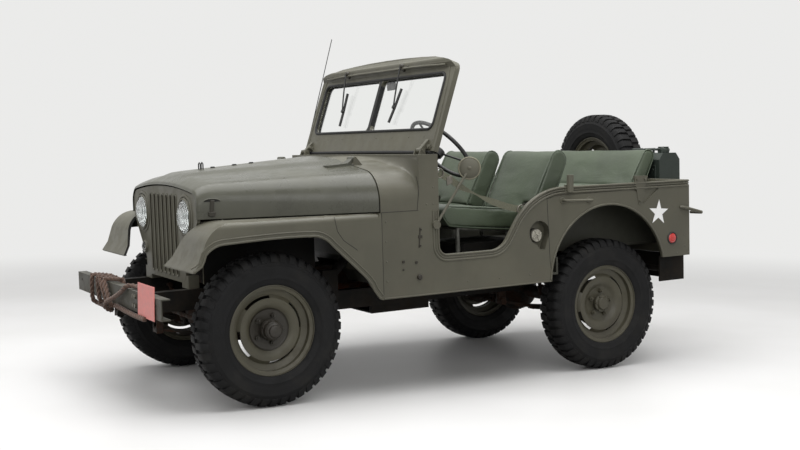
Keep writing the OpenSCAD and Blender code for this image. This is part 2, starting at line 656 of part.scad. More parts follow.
module bonnet_hinges() {
    x = bonnet_hinge[0];
    z = bonnet_hinge[1];
    both_sides() difference() {
        union() {
            rod_y(x, z, barrel_r, bonnet_hinge_y - barrel_l, bonnet_hinge_y + barrel_l);
            across(bonnet_hinge_y - barrel_l + 4, bonnet_hinge_y + barrel_l - 4)
                polygon([[x, z - 7], [x + 18, hinge_skin_z - 6], [x + 150, hinge_skin_z - 16], [x + 152, hinge_skin_z - 1],
                         [x + 36, hinge_skin_z + 8], [x, z + 7]]);
        }
        rod_y(x, z, hinge_pin_r + pin_gap, bonnet_hinge_y - 40, bonnet_hinge_y + 40);
    }
}

cowl_deck_z = 1228;
cowl_t = 12;
dash_z = 1062;
firewall_x = [455, cowl_x];
screen_hinge = [187, 1247];
screen_hinge_y = 691;
// Outer outline of the cowl's rounded top, at the bonnet's rear section
function cowl_section(g) = concat(
    let (w = body_y - g, r = shoulder_rear - g, top = bonnet_top - g, sz = top - crown_rear - r)
    concat([[-w, bonnet_z - 4]], arc(-(w - r), sz, r, 180, 100, 10),
           [for (i = [1 : 9]) let (y = (w - r) * (2 * i / 10 - 1)) [y, top - crown_rear * pow(y / (w - r), 2)]],
           arc(w - r, sz, r, 80, 0, 10), [[w, bonnet_z - 4]]));
module cowl() color(olive) raked() {
    difference() {
        union() {
            along(post_x[1] - eps, cowl_x) polygon(cowl_section(0));
            block([post_x[0], -body_y, bonnet_z - 4], [post_x[1], body_y, cowl_deck_z]);
        }
        // Hollow inside, open downwards and open at the door posts
        along(post_x[1] - eps, firewall_x[0]) polygon(concat(cowl_section(cowl_t), [[body_y - cowl_t, 0], [-body_y + cowl_t, 0]]));
        block([post_x[0] + cowl_t, -wall_y, 0], [post_x[1], wall_y, cowl_deck_z - cowl_t]);
        block([post_x[0] - 1, -wall_y, 0], [post_x[0] + cowl_t + 1, wall_y, dash_z]);
        block([post_x[1] - 2, -wall_y - wall + cowl_t, 0], [post_x[1] + 1, wall_y, 1100]);
    }
    // Lower firewall, down to the toe board, with the steering column's hole
    difference() {
        block([firewall_x[0] + seat_gap, -wall_y + seat_gap, toe_top[1] - 60], [firewall_x[1], wall_y - seat_gap, bonnet_z]);
        column_hole();
    }
    // Brackets and pins of the windscreen hinges
    both_sides() {
        for (s = [-1, 1])
            across(screen_hinge_y + s * 26 - 4, screen_hinge_y + s * 26 + 4)
                polygon([[screen_hinge[0] - 16, cowl_deck_z - eps], [screen_hinge[0] + 24, cowl_deck_z - eps],
                         [screen_hinge[0] + 12, screen_hinge[1] + 10], [screen_hinge[0] - 12, screen_hinge[1] + 10]]);
        rod_y(screen_hinge[0], screen_hinge[1], 7, screen_hinge_y - 34, screen_hinge_y + 34);
    }
    // Brackets and pins of the bonnet hinges
    both_sides() {
        for (s = [-1, 1])
            across(bonnet_hinge_y + s * (barrel_l + 6) - 3, bonnet_hinge_y + s * (barrel_l + 6) + 3)
                polygon([[bonnet_hinge[0] - 50, hinge_skin_z - 15], [bonnet_hinge[0] + 8, hinge_skin_z - 15],
                         [bonnet_hinge[0] + 8, bonnet_hinge[1] + 3], [bonnet_hinge[0] + 3, bonnet_hinge[1] + 8],
                         [bonnet_hinge[0] - 6, bonnet_hinge[1] + 8]]);
        rod_y(bonnet_hinge[0], bonnet_hinge[1], hinge_pin_r, bonnet_hinge_y - barrel_l - 9, bonnet_hinge_y + barrel_l + 9);
    }
}

// ---------------------------------------------------------------- grille and lamps
grille_x = [1312, 1328];
guard_gap = bonnet_t + move_gap;
guard_low = [316, 711];
guard_shoulder = 936;
guard_bottom = 625;
slot_pitch = 65.5;
slot_w = 32;
slot_z = [653, 1062];
lamp_at = [340, 957];
lamp_r = 90;
marker_at = [322, 768];
marker_r = 34;
function guard_outline() =
    let (w = bonnet_front_y - guard_gap, r = shoulder_front - guard_gap, top = bonnet_crown_z(bonnet_front) - guard_gap,
         sz = top - crown_front - r)
    concat([[w, guard_shoulder]], arc(w - r, sz, r, 0, 76, 6),
           [for (i = [9 : -1 : -9]) let (y = (w - r) * i / 10) [y, top - crown_front * pow(y / (w - r), 2)]],
           arc(-(w - r), sz, r, 104, 180, 6), [[-w, guard_shoulder], [-guard_low[0], guard_low[1]]],
           arc(-guard_low[0] + 60, guard_bottom + 60, 60, 180, 270, 6),
           arc(guard_low[0] - 60, guard_bottom + 60, 60, 270, 360, 6), [guard_low]);
module slot(y) {
    translate([y - slot_w / 2, slot_z[0] + slot_w / 2]) square([slot_w, slot_z[1] - slot_z[0] - slot_w]);
    for (z = [slot_z[0] + slot_w / 2, slot_z[1] - slot_w / 2]) translate([y, z]) circle(r = slot_w / 2);
}
module grille() color(olive) raked() {
    along(grille_x[0], grille_x[1]) difference() {
        polygon(guard_outline());
        for (i = [-3 : 3]) slot(i * slot_pitch);
        for (s = [-1, 1]) {
            translate([s * lamp_at[0], lamp_at[1]]) circle(r = lamp_r + 4);
            translate([s * marker_at[0], marker_at[1]]) circle(r = marker_r + seat_gap);
        }
    }
    // Feet that carry the guard on the front cross member
    both_sides() block([grille_x[0] - 40, rail_in - 60, horn_z + rail_h + seat_gap], [grille_x[1] - eps, rail_out - 20, guard_bottom + 40]);
}
module front_lamps() color("#c9ccc8") raked() both_sides() {
    rod_x(lamp_at[0], lamp_at[1], lamp_r + 4 - seat_gap, grille_x[0] - 18, grille_x[1] + 10);
    translate([grille_x[1] + 9, lamp_at[0], lamp_at[1]]) rotate([0, 90, 0]) rotate_extrude()
        polygon(concat([[0, 0], [lamp_r, 0]], [for (t = [0 : 0.2 : 1]) [lamp_r * cos(90 * t), 4 + 22 * sin(90 * t)]]));
    rod_x(marker_at[0], marker_at[1], marker_r, grille_x[0] - 20, grille_x[1] + 20);
}

// ---------------------------------------------------------------- front fenders
fender_y = fender_w / 2;
fender_t = 14;
fender_top = bonnet_z - 6;
fender_edge_r = 30;
apron_y = 380;
fender_front_x = 1447;
// Outline over the fender's top, from the cowl to the tip, inset by g
function fender_outline(g) = concat(
    [[cowl_x + seat_gap, 0], [cowl_x + seat_gap, fender_top - g], [1250, fender_top - g]],
    arc(1250, fender_top - 150, 150 - g, 78, 24, 7),
    [[1415 - g * 0.94, 772], [fender_front_x - g, 728], [fender_front_x - g, 0]]);
// Wheel opening in the fender's outer face
function fender_opening() = concat(
    [[1600, 0], [1600, 722], [1440, 725], [1403, 752]], arc(1290, 720, 124, 42, 84, 5),
    [[1039, 854], [870, 853]], arc(850, 720, 132, 84, 142, 6), [[560, 622], [522, 560], [490, 518], [466, sill_z], [466, 0]]);
module fender_hull(y0, g) intersection() {
    across(y0, fender_y - g) polygon(fender_outline(g));
    along(cowl_x - 10, fender_front_x + 10) polygon(concat([[y0, 0], [y0, fender_top - g]],
        arc(fender_y - fender_edge_r, fender_top - fender_edge_r, fender_edge_r - g, 90, 0, 8), [[fender_y - g, 0]]));
}
fender_tip_y = 331;
module front_fender() {
    difference() {
        fender_hull(fender_tip_y, 0);
        fender_hull(0, fender_t);
        across(fender_y - fender_t - 1, fender_y + 1) polygon(fender_opening());
        block([1345, 0, 0], [1500, fender_y + 1, 722]);
        // Inner edge beside the grille guard, and the space above the engine bay
        along(grille_x[0] - 20, 1500) polygon([[0, 0], [fender_tip_y - 12, 700], [bonnet_front_y - 3, 944], [bonnet_front_y - 3, 1000], [0, 1000]]);
        block([0, 0, 0], [grille_x[0] - 19, apron_y, 1000]);
    }
    // Inner apron between engine bay and wheel
    across(apron_y, apron_y + fender_t) polygon([[660, 525], [660, fender_top], [1265, fender_top], [1265, 625], [1240, 606], [860, 546]]);
    // Rear closing panel beside the firewall
    block([cowl_x + seat_gap, 392, 640], [cowl_x + fender_t, fender_y - eps, fender_top - eps]);
}
module front_fenders() color(olive) raked() {
    difference() {
        front_fender();
        column_hole();
    }
    mirror([0, 1, 0]) front_fender();
}

// ---------------------------------------------------------------- windscreen
screen_at = [140, 1240];
screen_t = 14;
glass_z = [118, 424];
glass_y = 696;
glass_t = 5;
divider_w = 26;
module on_screen() translate([screen_at[0], 0, screen_at[1]]) rotate([0, -screen_lean, 0]) children();
// Upper edge of the windscreen, as fractions of its half width and height
screen_top = [[0.795, 1], [0.832, 0.997], [0.865, 0.985], [0.888, 0.963], [0.904, 0.929], [0.93, 0.844], [0.969, 0.7],
              [0.985, 0.52], [0.997, 0.26], [1, 0]];
function screen_outline() =
    let (w = screen_w / 2, right = [for (p = screen_top) [w * p[1], screen_h * p[0]]])
    concat([[w, 0]], right, [for (p = reversed(right)) [-p[0], p[1]]], [[-w, 0]]);
module rounded(y0, y1, z0, z1, r) {
    translate([y0 + r, z0]) square([y1 - y0 - 2 * r, z1 - z0]);
    translate([y0, z0 + r]) square([y1 - y0, z1 - z0 - 2 * r]);
    for (y = [y0 + r, y1 - r], z = [z0 + r, z1 - r]) translate([y, z]) circle(r = r);
}
module screen_holes(g) for (s = [0, 1]) mirror([s, 0])
    rounded(divider_w / 2 + g, glass_y - g, glass_z[0] + g, glass_z[1] - g, 42 - g);
screen_arm_y = 22;
module windscreen_frame() color(olive) raked() {
    on_screen() {
        along(-screen_t, screen_t) difference() {
            polygon(screen_outline());
            screen_holes(0);
        }
        // Rounded header that overhangs the glass
        intersection() {
            along(-screen_t, 40) polygon(screen_outline());
            across(-screen_w / 2, screen_w / 2)
                polygon(concat([[-screen_t, 452], [screen_t, 452], [34, 474]], arc(18, 490, 20, -30, 70, 6), [[6, 545], [-screen_t, 545]]));
        }
    }
    // Hinge arms with barrels on the cowl's pins
    both_sides() difference() {
        union() {
            rod_y(screen_hinge[0], screen_hinge[1], 13, screen_hinge_y - screen_arm_y + 0.5, screen_hinge_y + screen_arm_y - 0.5);
            across(screen_hinge_y - 14, screen_hinge_y + 14)
                polygon([[screen_hinge[0], screen_hinge[1] - 8], [screen_hinge[0], screen_hinge[1] + 12],
                         [140, 1304], [136, 1262]]);
        }
        rod_y(screen_hinge[0], screen_hinge[1], 7 + pin_gap, screen_hinge_y - 40, screen_hinge_y + 40);
    }
}
module windscreen_glass() color("#9fb4b8", 0.35) raked() on_screen()
    along(-glass_t / 2, glass_t / 2) screen_holes(seat_gap);

// ---------------------------------------------------------------- steering
column_end = 932;
wheel_shaft_r = 10;
column_start = 46;
box_x = [545, 632];
module steering_column() color(black) raked() {
    difference() {
        along_column() translate([0, 0, column_start]) cylinder(r = column_r, h = column_end - column_start);
        along_column() translate([0, 0, column_start - 1]) cylinder(r = wheel_shaft_r + pin_gap, h = 61);
    }
    // Steering box on the outside of the left rail, with its drop arm
    block([box_x[0], rail_out + seat_gap, 458], [box_x[1], 424, 640]);
    across(404, 424) polygon([[box_x[0] + 20, 470], [box_x[1] - 20, 470], [box_x[1] - 26, 330], [box_x[0] + 26, 330]]);
}
module steering_wheel() color(black) raked() along_column() {
    rotate_extrude($fn = 96) translate([wheel_rim_r - 11, 0]) circle(r = 11, $fn = 24);
    for (i = [0 : 2]) rotate([0, 0, 120 * i + 180]) bar([20, 0, 22], [wheel_rim_r - 11, 0, 0], 6);
    translate([0, 0, 8]) cylinder(r = 32, h = column_start - 8 - 3);
    translate([0, 0, column_start - 4]) cylinder(r = wheel_shaft_r, h = 60);
}

// ---------------------------------------------------------------- seats
cushion_x = [-560, 10];
driver_y = [380 - seat_w / 2, 380 + seat_w / 2];
cushion_low = [797, 846];
cushion_high = [888, 950];
back_lean = 26;
back_t = 105;
back_l = 372;
back_at = [-566, 900];
// Side outline of a seat cushion with rounded nose, and of a backrest leaning from its foot
function cushion_outline(dx) = concat(
    [[cushion_x[0] + dx, cushion_low[0]], [cushion_x[1] - 40 + dx, cushion_low[1] - 4]],
    arc(cushion_x[1] - 42 + dx, cushion_high[1] - 46, 42, -50, 80, 7), [[cushion_x[0] + dx, cushion_high[0]]]);
module backrest_outline(l, t) {
    square([t, l - 50]);
    translate([0, l - 50 - eps]) intersection() {
        translate([0, 0]) square([t, 60]);
        translate([t / 2, 0]) circle(r = t / 2);
    }
}
module backrest(foot, lean, l, t, y0, y1)
    translate([foot[0], 0, foot[1]]) rotate([0, -lean, 0]) translate([-t, 0, 0]) across(y0, y1) backrest_outline(l, t);
module seat(dx) {
    y0 = driver_y[0];
    y1 = driver_y[1];
    across(y0, y1) polygon(cushion_outline(dx));
    backrest([back_at[0] + dx - 8, back_at[1]], back_lean, back_l, back_t, y0, y1);
}
// Space kept free over the left wheel house
module house_space() block([-1000, house_y - 6, 500], [house_x + 6, wall_y, house_z + 6]);
passenger_dx = -70;
module driver_seat() color(seat_green) raked() difference() { seat(0); house_space(); }
module passenger_seat() color(seat_green) raked() mirror([0, 1, 0]) difference() { seat(passenger_dx); house_space(); }

seat_tube = 12;
function pan_z(x, dx) = mix(cushion_low[1] - 4, cushion_low[0], (cushion_x[1] - 40 - (x - dx)) / (cushion_x[1] - 40 - cushion_x[0])) - seat_tube - 0.8;
seat_pivot = [-110, 600];
// Tubular frame of one front seat: rails under the cushion with legs, and stays behind the back
module seat_frame(dx, feet) {
    front = cushion_x[1] - 110 + dx;
    rear = max(cushion_x[0] + 36 + dx, house_x + 30);
    for (y = [driver_y[0] + 40, driver_y[1] - 40])
        bent_bar([[front, y, feet], [front, y, pan_z(front, dx)], [rear, y, pan_z(rear, dx)], [rear, y, floor_z + 16]], seat_tube);
    for (x = [rear + 30, front - 30]) rod_y(x, pan_z(x, dx) - 3, seat_tube - 4, driver_y[0] + 37, driver_y[1] - 37);
    for (y = [driver_y[0] + 40, house_y - 30]) {
        bar([rear + 42, y, pan_z(rear + 42, dx) - 4], back_point(dx, -72, y) - [4, 0, 0], seat_tube - 3);
        bar(back_point(dx, -78, y), back_point(dx, 290, y), seat_tube);
    }
}
// A point on the line of the stays, l along the backrest
function back_point(dx, l, y) =
    let (t = back_t + seat_tube + 0.5)
    [back_at[0] + dx - 8 - t * cos(back_lean) - l * sin(back_lean), y, back_at[1] - t * sin(back_lean) + l * cos(back_lean)];
bench_y = bench_w / 2;
bench_x = [-1470, -1050];
bench_z = [885, 985];
module seat_frames() color(steel_dark) raked() {
    seat_frame(0, floor_z + seat_gap);
    for (y = [driver_y[0] + 40, driver_y[1] - 40])
        translate([cushion_x[0] + 36, y, floor_z + seat_gap]) cylinder(r = 16, h = 30);
    // Hinge brackets of the passenger seat
    mirror([0, 1, 0]) for (y = [driver_y[0] + 40, driver_y[1] - 40]) {
        for (s = [-1, 1]) across(y + s * 21 - 3, y + s * 21 + 3)
            polygon([[seat_pivot[0] + passenger_dx - 30, floor_z + seat_gap], [seat_pivot[0] + passenger_dx + 30, floor_z + seat_gap],
                     [seat_pivot[0] + passenger_dx + 12, seat_pivot[1] + 14], [seat_pivot[0] + passenger_dx - 12, seat_pivot[1] + 14]]);
        rod_y(seat_pivot[0] + passenger_dx, seat_pivot[1], 6, y - 24, y + 24);
    }
    // Rear bench frame
    both_sides() {
        bent_bar([[bench_x[1] - 60, bench_y - 60, rear_floor_z + seat_gap], [bench_x[1] - 60, bench_y - 60, bench_z[0] - seat_tube - 0.9],
                  [bench_x[0] + 40, bench_y - 60, bench_z[0] - seat_tube - 0.9], [bench_x[0] + 40, bench_y - 60, rear_floor_z + seat_gap]], seat_tube);
    }
    rod_y(bench_x[1] - 60, bench_z[0] - seat_tube - 0.9, seat_tube - 1, -bench_y + 60, bench_y - 60);
    rod_y(bench_x[0] + 40, bench_z[0] - seat_tube - 0.9, seat_tube - 1, -bench_y + 60, bench_y - 60);
}
module passenger_frame() color(steel_dark) raked() difference() {
    union() {
        mirror([0, 1, 0]) {
            seat_frame(passenger_dx, seat_pivot[1] + 6);
            for (y = [driver_y[0] + 40, driver_y[1] - 40]) rod_y(seat_pivot[0] + passenger_dx + 0, seat_pivot[1], 13, y - 17, y + 17);
            for (y = [driver_y[0] + 40, driver_y[1] - 40]) bar([cushion_x[1] - 110 + passenger_dx, y, seat_pivot[1] + 8], [seat_pivot[0] + passenger_dx, y, seat_pivot[1] + 2], seat_tube - 2);
        }
    }
    rod_y(seat_pivot[0] + passenger_dx, seat_pivot[1], 6 + pin_gap, -driver_y[1], -driver_y[0]);
}
module rear_seat() color(seat_green) raked() {
    across(-bench_y, bench_y) polygon(concat([[bench_x[0], bench_z[0]], [bench_x[1] - 30, bench_z[0]]],
        arc(bench_x[1] - 45, bench_z[1] - 45, 45, -60, 90, 7), [[bench_x[0], bench_z[1] - 12]]));
    backrest([-1436, 990], 29, 268, 85, -bench_y, bench_y);
}

// ---------------------------------------------------------------- fittings
mirror_at = [-60, 772, 1148];
mirror_foot = [150, body_y + 8, 868];
module side_mirror() color(olive) raked() {
    bar(mirror_foot, mirror_at, 7);
    translate([mirror_foot[0], body_y + seat_gap, mirror_foot[2]]) rotate([-90, 0, 0]) cylinder(r = 22, h = 16);
    translate(mirror_at) rotate([90, 0, -30]) translate([0, 0, -8]) cylinder(r = 54, h = 16);
}
antenna_foot = [175, -body_y - 14, 1120];
antenna_lean = 16.2;
module antenna() color(black) raked() {
    block([antenna_foot[0] - 25, -body_y - 26, antenna_foot[2] - 60], [antenna_foot[0] + 25, -body_y - seat_gap, antenna_foot[2]]);
    translate(antenna_foot) rotate([0, -antenna_lean, 0]) {
        cylinder(r = 11, h = 60);
        cylinder(r = 2.5, h = 862);
    }
}
module door_strap() color("#5d5a44") raked() {
    // Webbing across the doorway, hooked at the post and at the tub's hip
    points = [[post_x[0] - seat_gap, 1124], [60, 1095], [-20, 1050], [-160, 985], [-300, 935], [-392, 928]];
    for (i = [0 : len(points) - 2])
        across(wall_y - 6, wall_y - 3) polygon([points[i] + [0, -20], points[i + 1] + [0, -20], points[i + 1] + [0, 20], points[i] + [0, 20]]);
}

can_x = [-1795, -1630];
can_y = [140, 485];
can_z = [722, 1178];
module jerry_can() color("#2f3a33") raked() {
    across(can_y[0], can_y[1]) polygon([[can_x[0], can_z[0]], [can_x[1], can_z[0]], [can_x[1], can_z[1] - 40], [can_x[1] - 30, can_z[1]],
                                       [can_x[0] + 30, can_z[1]], [can_x[0], can_z[1] - 40]]);
    for (y = [can_y[0] + 60, (can_y[0] + can_y[1]) / 2, can_y[1] - 60])
        rod_x(y, can_z[1] + 22, 8, can_x[0] + 40, can_x[1] - 40);
    for (x = [can_x[0] + 44, can_x[1] - 44]) rod_y(x, can_z[1] + 21, 6, can_y[0] + 56, can_y[1] - 56);
    for (x = [can_x[0] + 52, can_x[1] - 52], y = [can_y[0] + 60, (can_y[0] + can_y[1]) / 2, can_y[1] - 60])
        translate([x, y, can_z[1] - eps]) cylinder(r = 7, h = 22);
}
module rear_carriers() color(olive) raked() {
    x1 = tub_rear - seat_gap;
    // Spare wheel carrier: a plate on the rear panel and the post that the wheel bolts to
    block([x1 - 14, spare_at[1] - 130, 680], [x1, spare_at[1] + 130, 1100]);
    rod_x(spare_at[1], spare_at[2], carrier_r, spare_at[0] - carrier_face, x1 - 13);
    rod_x(spare_at[1], spare_at[2], 84, spare_at[0] - carrier_face, spare_at[0] - carrier_face + 12);
    // Can carrier: back plate, tray and front lip
    block([x1 - 10, can_y[0], can_z[0] - 16], [x1, can_y[1], 900]);
    block([can_x[0] - 8, can_y[0], can_z[0] - 16], [x1 - 9, can_y[1], can_z[0] - seat_gap]);
    block([can_x[0] - 8, can_y[0], can_z[0] - 16], [can_x[0] - seat_gap, can_y[1], can_z[0] + 110]);
}

frame();
front_bumper();
tow_rope();
front_axle();
rear_axle();
suspension();
powertrain();
exhaust();
fuel_tank();
floor_pan();
body_side_left();
body_side_right();
rear_panel();
cowl();
grille();
front_fenders();
front_lamps();
bonnet();
windscreen_frame();
windscreen_glass();
steering_column();
steering_wheel();
seat_frames();
driver_seat();
rear_seat();
passenger_frame();
passenger_seat();
side_mirror();
antenna();
door_strap();
rear_carriers();
jerry_can();
color(rubber_black) at_spare() tyre();  // spare_tyre
color(olive) at_spare() spare_disc();  // spare_wheel
knuckle_left();
knuckle_right();
tie_rod();
color(rubber_black) level() at_wheel(front_x, 1) tyre();  // tyre_front_left
color(olive) level() at_wheel(front_x, 1) front_wheel();  // wheel_front_left
color(rubber_black) level() at_wheel(front_x, -1) tyre();  // tyre_front_right
color(olive) level() at_wheel(front_x, -1) front_wheel();  // wheel_front_right
color(rubber_black) level() at_wheel(rear_x, 1) tyre();  // tyre_rear_left
color(olive) level() at_wheel(rear_x, 1) rear_wheel();  // wheel_rear_left
color(rubber_black) level() at_wheel(rear_x, -1) tyre();  // tyre_rear_right
color(olive) level() at_wheel(rear_x, -1) rear_wheel();  // wheel_rear_right
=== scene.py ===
import bpy, bmesh, math, json
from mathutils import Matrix, Quaternion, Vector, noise


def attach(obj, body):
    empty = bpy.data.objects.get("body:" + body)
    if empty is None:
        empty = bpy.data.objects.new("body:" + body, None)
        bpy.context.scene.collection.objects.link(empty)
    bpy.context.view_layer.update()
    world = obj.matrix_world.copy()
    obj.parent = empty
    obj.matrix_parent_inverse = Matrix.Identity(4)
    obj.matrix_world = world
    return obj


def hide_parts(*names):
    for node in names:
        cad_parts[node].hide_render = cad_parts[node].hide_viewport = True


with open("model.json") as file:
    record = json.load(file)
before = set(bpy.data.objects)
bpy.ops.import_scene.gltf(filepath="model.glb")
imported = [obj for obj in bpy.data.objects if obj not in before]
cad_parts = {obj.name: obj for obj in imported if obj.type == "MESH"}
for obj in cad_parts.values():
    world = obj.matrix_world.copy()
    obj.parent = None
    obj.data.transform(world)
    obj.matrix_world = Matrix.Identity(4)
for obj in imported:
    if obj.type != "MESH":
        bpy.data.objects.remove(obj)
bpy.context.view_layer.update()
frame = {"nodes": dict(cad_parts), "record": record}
scene = bpy.context.scene
scene.view_settings.view_transform = "Standard"

# ---------------------------------------------------------------- places, in millimetres
RAKE, RAKE_Z = math.radians(2), 550
C2, S2 = math.cos(RAKE), math.sin(RAKE)
AXLE_MID = 130


def B(x, y, z):
    """Frame and body point (drawn level, then raked) to the row frame in metres."""
    up = z - RAKE_Z
    return Vector(((AXLE_MID + x * C2 + up * S2) / 1000, y / 1000,
                   (RAKE_Z + up * C2 - x * S2) / 1000))


def L(x, y, z):
    """Level point, counted from midway between the axles, to the row frame in metres."""
    return Vector(((AXLE_MID + x) / 1000, y / 1000, z / 1000))


LEAN = math.radians(19)


def S(x, y, z):
    """Point on the windscreen: x forwards of its middle plane, z up its slope."""
    return B(140 + x * math.cos(LEAN) - z * math.sin(LEAN), y,
             1240 + x * math.sin(LEAN) + z * math.cos(LEAN))


def mix(a, b, t):
    """The value t of the way from a to b."""
    return a + (b - a) * t


def smooth(t):
    """Soft step from 0 to 1."""
    t = min(1, max(0, t))
    return t * t * (3 - 2 * t)


def arc(cx, cy, r, a0, a1, n=12):
    """Points of an arc between two angles in degrees."""
    turns = [math.radians(mix(a0, a1, i / n)) for i in range(n + 1)]
    return [(cx + r * math.cos(a), cy + r * math.sin(a)) for a in turns]


# ---------------------------------------------------------------- materials
def srgb(r, g, b):
    """Colour as it is written on screen, to the linear values that the shaders take."""
    linear = [v / 255 / 12.92 if v <= 10.3 else ((v / 255 + 0.055) / 1.055) ** 2.4 for v in (r, g, b)]
    return (*linear, 1)


def shade(colour, factor):
    """The colour made darker or lighter."""
    return tuple(min(1, v * factor) for v in colour[:3]) + (1,)


class Stuff:
    """A Principled material with helpers for procedural colour, roughness and bump."""

    def __init__(self, name):
        self.mat = bpy.data.materials.new(name)
        self.mat.use_nodes = True
        self.t = self.mat.node_tree
        self.t.nodes.clear()
        self.out = self.node("OutputMaterial")
        self.bsdf = self.node("BsdfPrincipled")
        self.t.links.new(self.bsdf.outputs[0], self.out.inputs[0])
        self.at = self.node("TexCoord").outputs["Object"]
        self.height = None

    def link(self, a, b):
        self.t.links.new(a, b)

    def node(self, kind, **values):
        """New node with values in its inputs, named with underscores for spaces."""
        n = self.t.nodes.new("ShaderNode" + kind)
        for k, v in values.items():
            n.inputs[k.replace("_", " ")].default_value = v
        return n

    def scaled(self, sx, sy, sz):
        m = self.node("Mapping", Scale=(sx, sy, sz))
        self.link(self.at, m.inputs[0])
        return m.outputs[0]

    def noise(self, scale, detail=4, rough=0.55, where=None, distortion=0):
        n = self.node("TexNoise", Scale=scale, Detail=detail, Roughness=rough, Distortion=distortion)
        self.link(where or self.at, n.inputs["Vector"])
        return n.outputs["Fac"]

    def cells(self, scale):
        n = self.node("TexVoronoi", Scale=scale)
        self.link(self.at, n.inputs["Vector"])
        return n.outputs["Distance"]

    def wave(self, scale, direction):
        n = self.node("TexWave", Scale=scale)
        n.bands_direction = direction
        self.link(self.at, n.inputs["Vector"])
        return n.outputs["Fac"]

    def remap(self, fac, a, b, lo=0.0, hi=1.0):
        m = self.node("MapRange")
        m.interpolation_type = "SMOOTHSTEP"
        for i, v in enumerate((a, b, lo, hi), 1):
            m.inputs[i].default_value = v
        self.link(fac, m.inputs[0])
        return m.outputs[0]

    def math(self, op, a, b):
        m = self.node("Math")
        m.operation = op
        for i, v in enumerate((a, b)):
            if isinstance(v, (int, float)):
                m.inputs[i].default_value = v
            else:
                self.link(v, m.inputs[i])
        return m.outputs[0]

    def blend(self, fac, a, b):
        m = self.node("Mix")
        m.data_type = "RGBA"
        if isinstance(fac, (int, float)):
            m.inputs[0].default_value = fac
        else:
            self.link(fac, m.inputs[0])
        for i, v in ((6, a), (7, b)):
            if isinstance(v, tuple):
                m.inputs[i].default_value = v
            else:
                self.link(v, m.inputs[i])
        return m.outputs[2]

    def axis(self, source, which):
        s = self.node("SeparateXYZ")
        self.link(source, s.inputs[0])
        return s.outputs[which]

    def facing_up(self):
        g = self.node("NewGeometry")
        return self.axis(g.outputs["Normal"], 2)

    def bump(self, fac, distance, strength=1.0):
        b = self.node("Bump", Strength=strength, Distance=distance)
        self.link(fac, b.inputs["Height"])
        if self.height is not None:
            self.link(self.height, b.inputs["Normal"])
        self.height = b.outputs[0]
        self.link(self.height, self.bsdf.inputs["Normal"])

    def mixed(self, fac, a, b):
        """Mix of two shader nodes."""
        m = self.node("MixShader")
        self.link(fac, m.inputs[0])
        self.link(a.outputs[0], m.inputs[1])
        self.link(b.outputs[0], m.inputs[2])
        return m

    def set(self, **kw):
        for k, v in kw.items():
            s = self.bsdf.inputs[k.replace("_", " ")]
            if isinstance(v, (int, float, tuple)):
                s.default_value = v
            else:
                self.link(v, s)


def paint(name, base, dust=(0.36, 0.36, 0.33), dusty=0.16, rough=(0.40, 0.58), grime=0.3, grime_z=0.62,
          chips=0.5, mud=(0.105, 0.085, 0.06), gloss=0.35):
    """Old matte paint: cloudy tone, dust on top faces, grime low down, chips to dark metal, fine grain."""
    m = Stuff(name)
    lo = shade(base, 0.88)
    hi = shade(base, 1.13)
    cloudy = m.remap(m.noise(2.3, 5, 0.6), 0.3, 0.7)
    c = m.blend(cloudy, lo, hi)
    streak = m.noise(9, 4, 0.6, m.scaled(1, 1, 0.25))
    c = m.blend(m.remap(streak, 0.5, 0.75, 0, 0.35), c, shade(base, 0.72))
    up = m.remap(m.facing_up(), 0.35, 0.95)
    mottled = m.remap(m.noise(14, 6, 0.65), 0.35, 0.72)
    c = m.blend(m.math("MULTIPLY", m.math("MULTIPLY", up, mottled), dusty), c, dust + (1,))
    low = m.remap(m.axis(m.at, 2), grime_z - 0.25, grime_z + 0.12, 1.0, 0.0)
    splash = m.math("MULTIPLY", low, m.remap(m.noise(7, 6, 0.7), 0.35, 0.7))
    c = m.blend(m.math("MULTIPLY", splash, grime), c, mud + (1,))
    chip = m.math("MULTIPLY", m.remap(m.noise(75, 5, 0.75), 0.69, 0.73),
                  m.remap(m.noise(5, 3, 0.5), 0.5, 0.62))
    c = m.blend(m.math("MULTIPLY", chip, chips), c, (0.035, 0.027, 0.02, 1))
    m.set(Base_Color=c, Roughness=m.remap(m.math("ADD", cloudy, mottled), 0.4, 1.6, *rough),
          Specular_IOR_Level=gloss)
    m.bump(m.noise(420, 2, 0.5), 0.00018, 0.3)
    m.bump(m.noise(3.1, 2, 0.4), 0.006, 0.25)
    return m.mat


def rusty(name, base, rust, amount=0.5, rough=(0.55, 0.85)):
    """Dirty iron with patches of rust."""
    m = Stuff(name)
    patches = m.remap(m.noise(11, 7, 0.7), 0.42, 0.62)
    fine = m.remap(m.noise(60, 5, 0.7), 0.35, 0.7)
    c = m.blend(fine, shade(base, 0.75), shade(base, 1.25))
    r = m.blend(fine, shade(rust, 0.6), rust)
    c = m.blend(m.math("MULTIPLY", patches, amount), c, r)
    up = m.remap(m.facing_up(), 0.3, 0.9, 0, 0.25)
    c = m.blend(up, c, (0.055, 0.045, 0.035, 1))
    m.set(Base_Color=c, Roughness=m.remap(patches, 0, 1, *rough), Metallic=0.15, Specular_IOR_Level=0.15)
    m.bump(fine, 0.0012, 0.5)
    return m.mat


def rubber(name):
    """Dusty black tyre rubber."""
    m = Stuff(name)
    g = m.remap(m.noise(16, 6, 0.65), 0.35, 0.75)
    c = m.blend(g, srgb(13, 13, 14), srgb(25, 25, 25))
    dust = m.remap(m.noise(6, 5, 0.6), 0.45, 0.75)
    c = m.blend(m.math("MULTIPLY", dust, 0.3), c, srgb(52, 50, 46))
    m.set(Base_Color=c, Roughness=m.remap(g, 0, 1, 0.62, 0.82), Specular_IOR_Level=0.2)
    m.bump(m.noise(260, 3, 0.6), 0.0004, 0.5)
    return m.mat


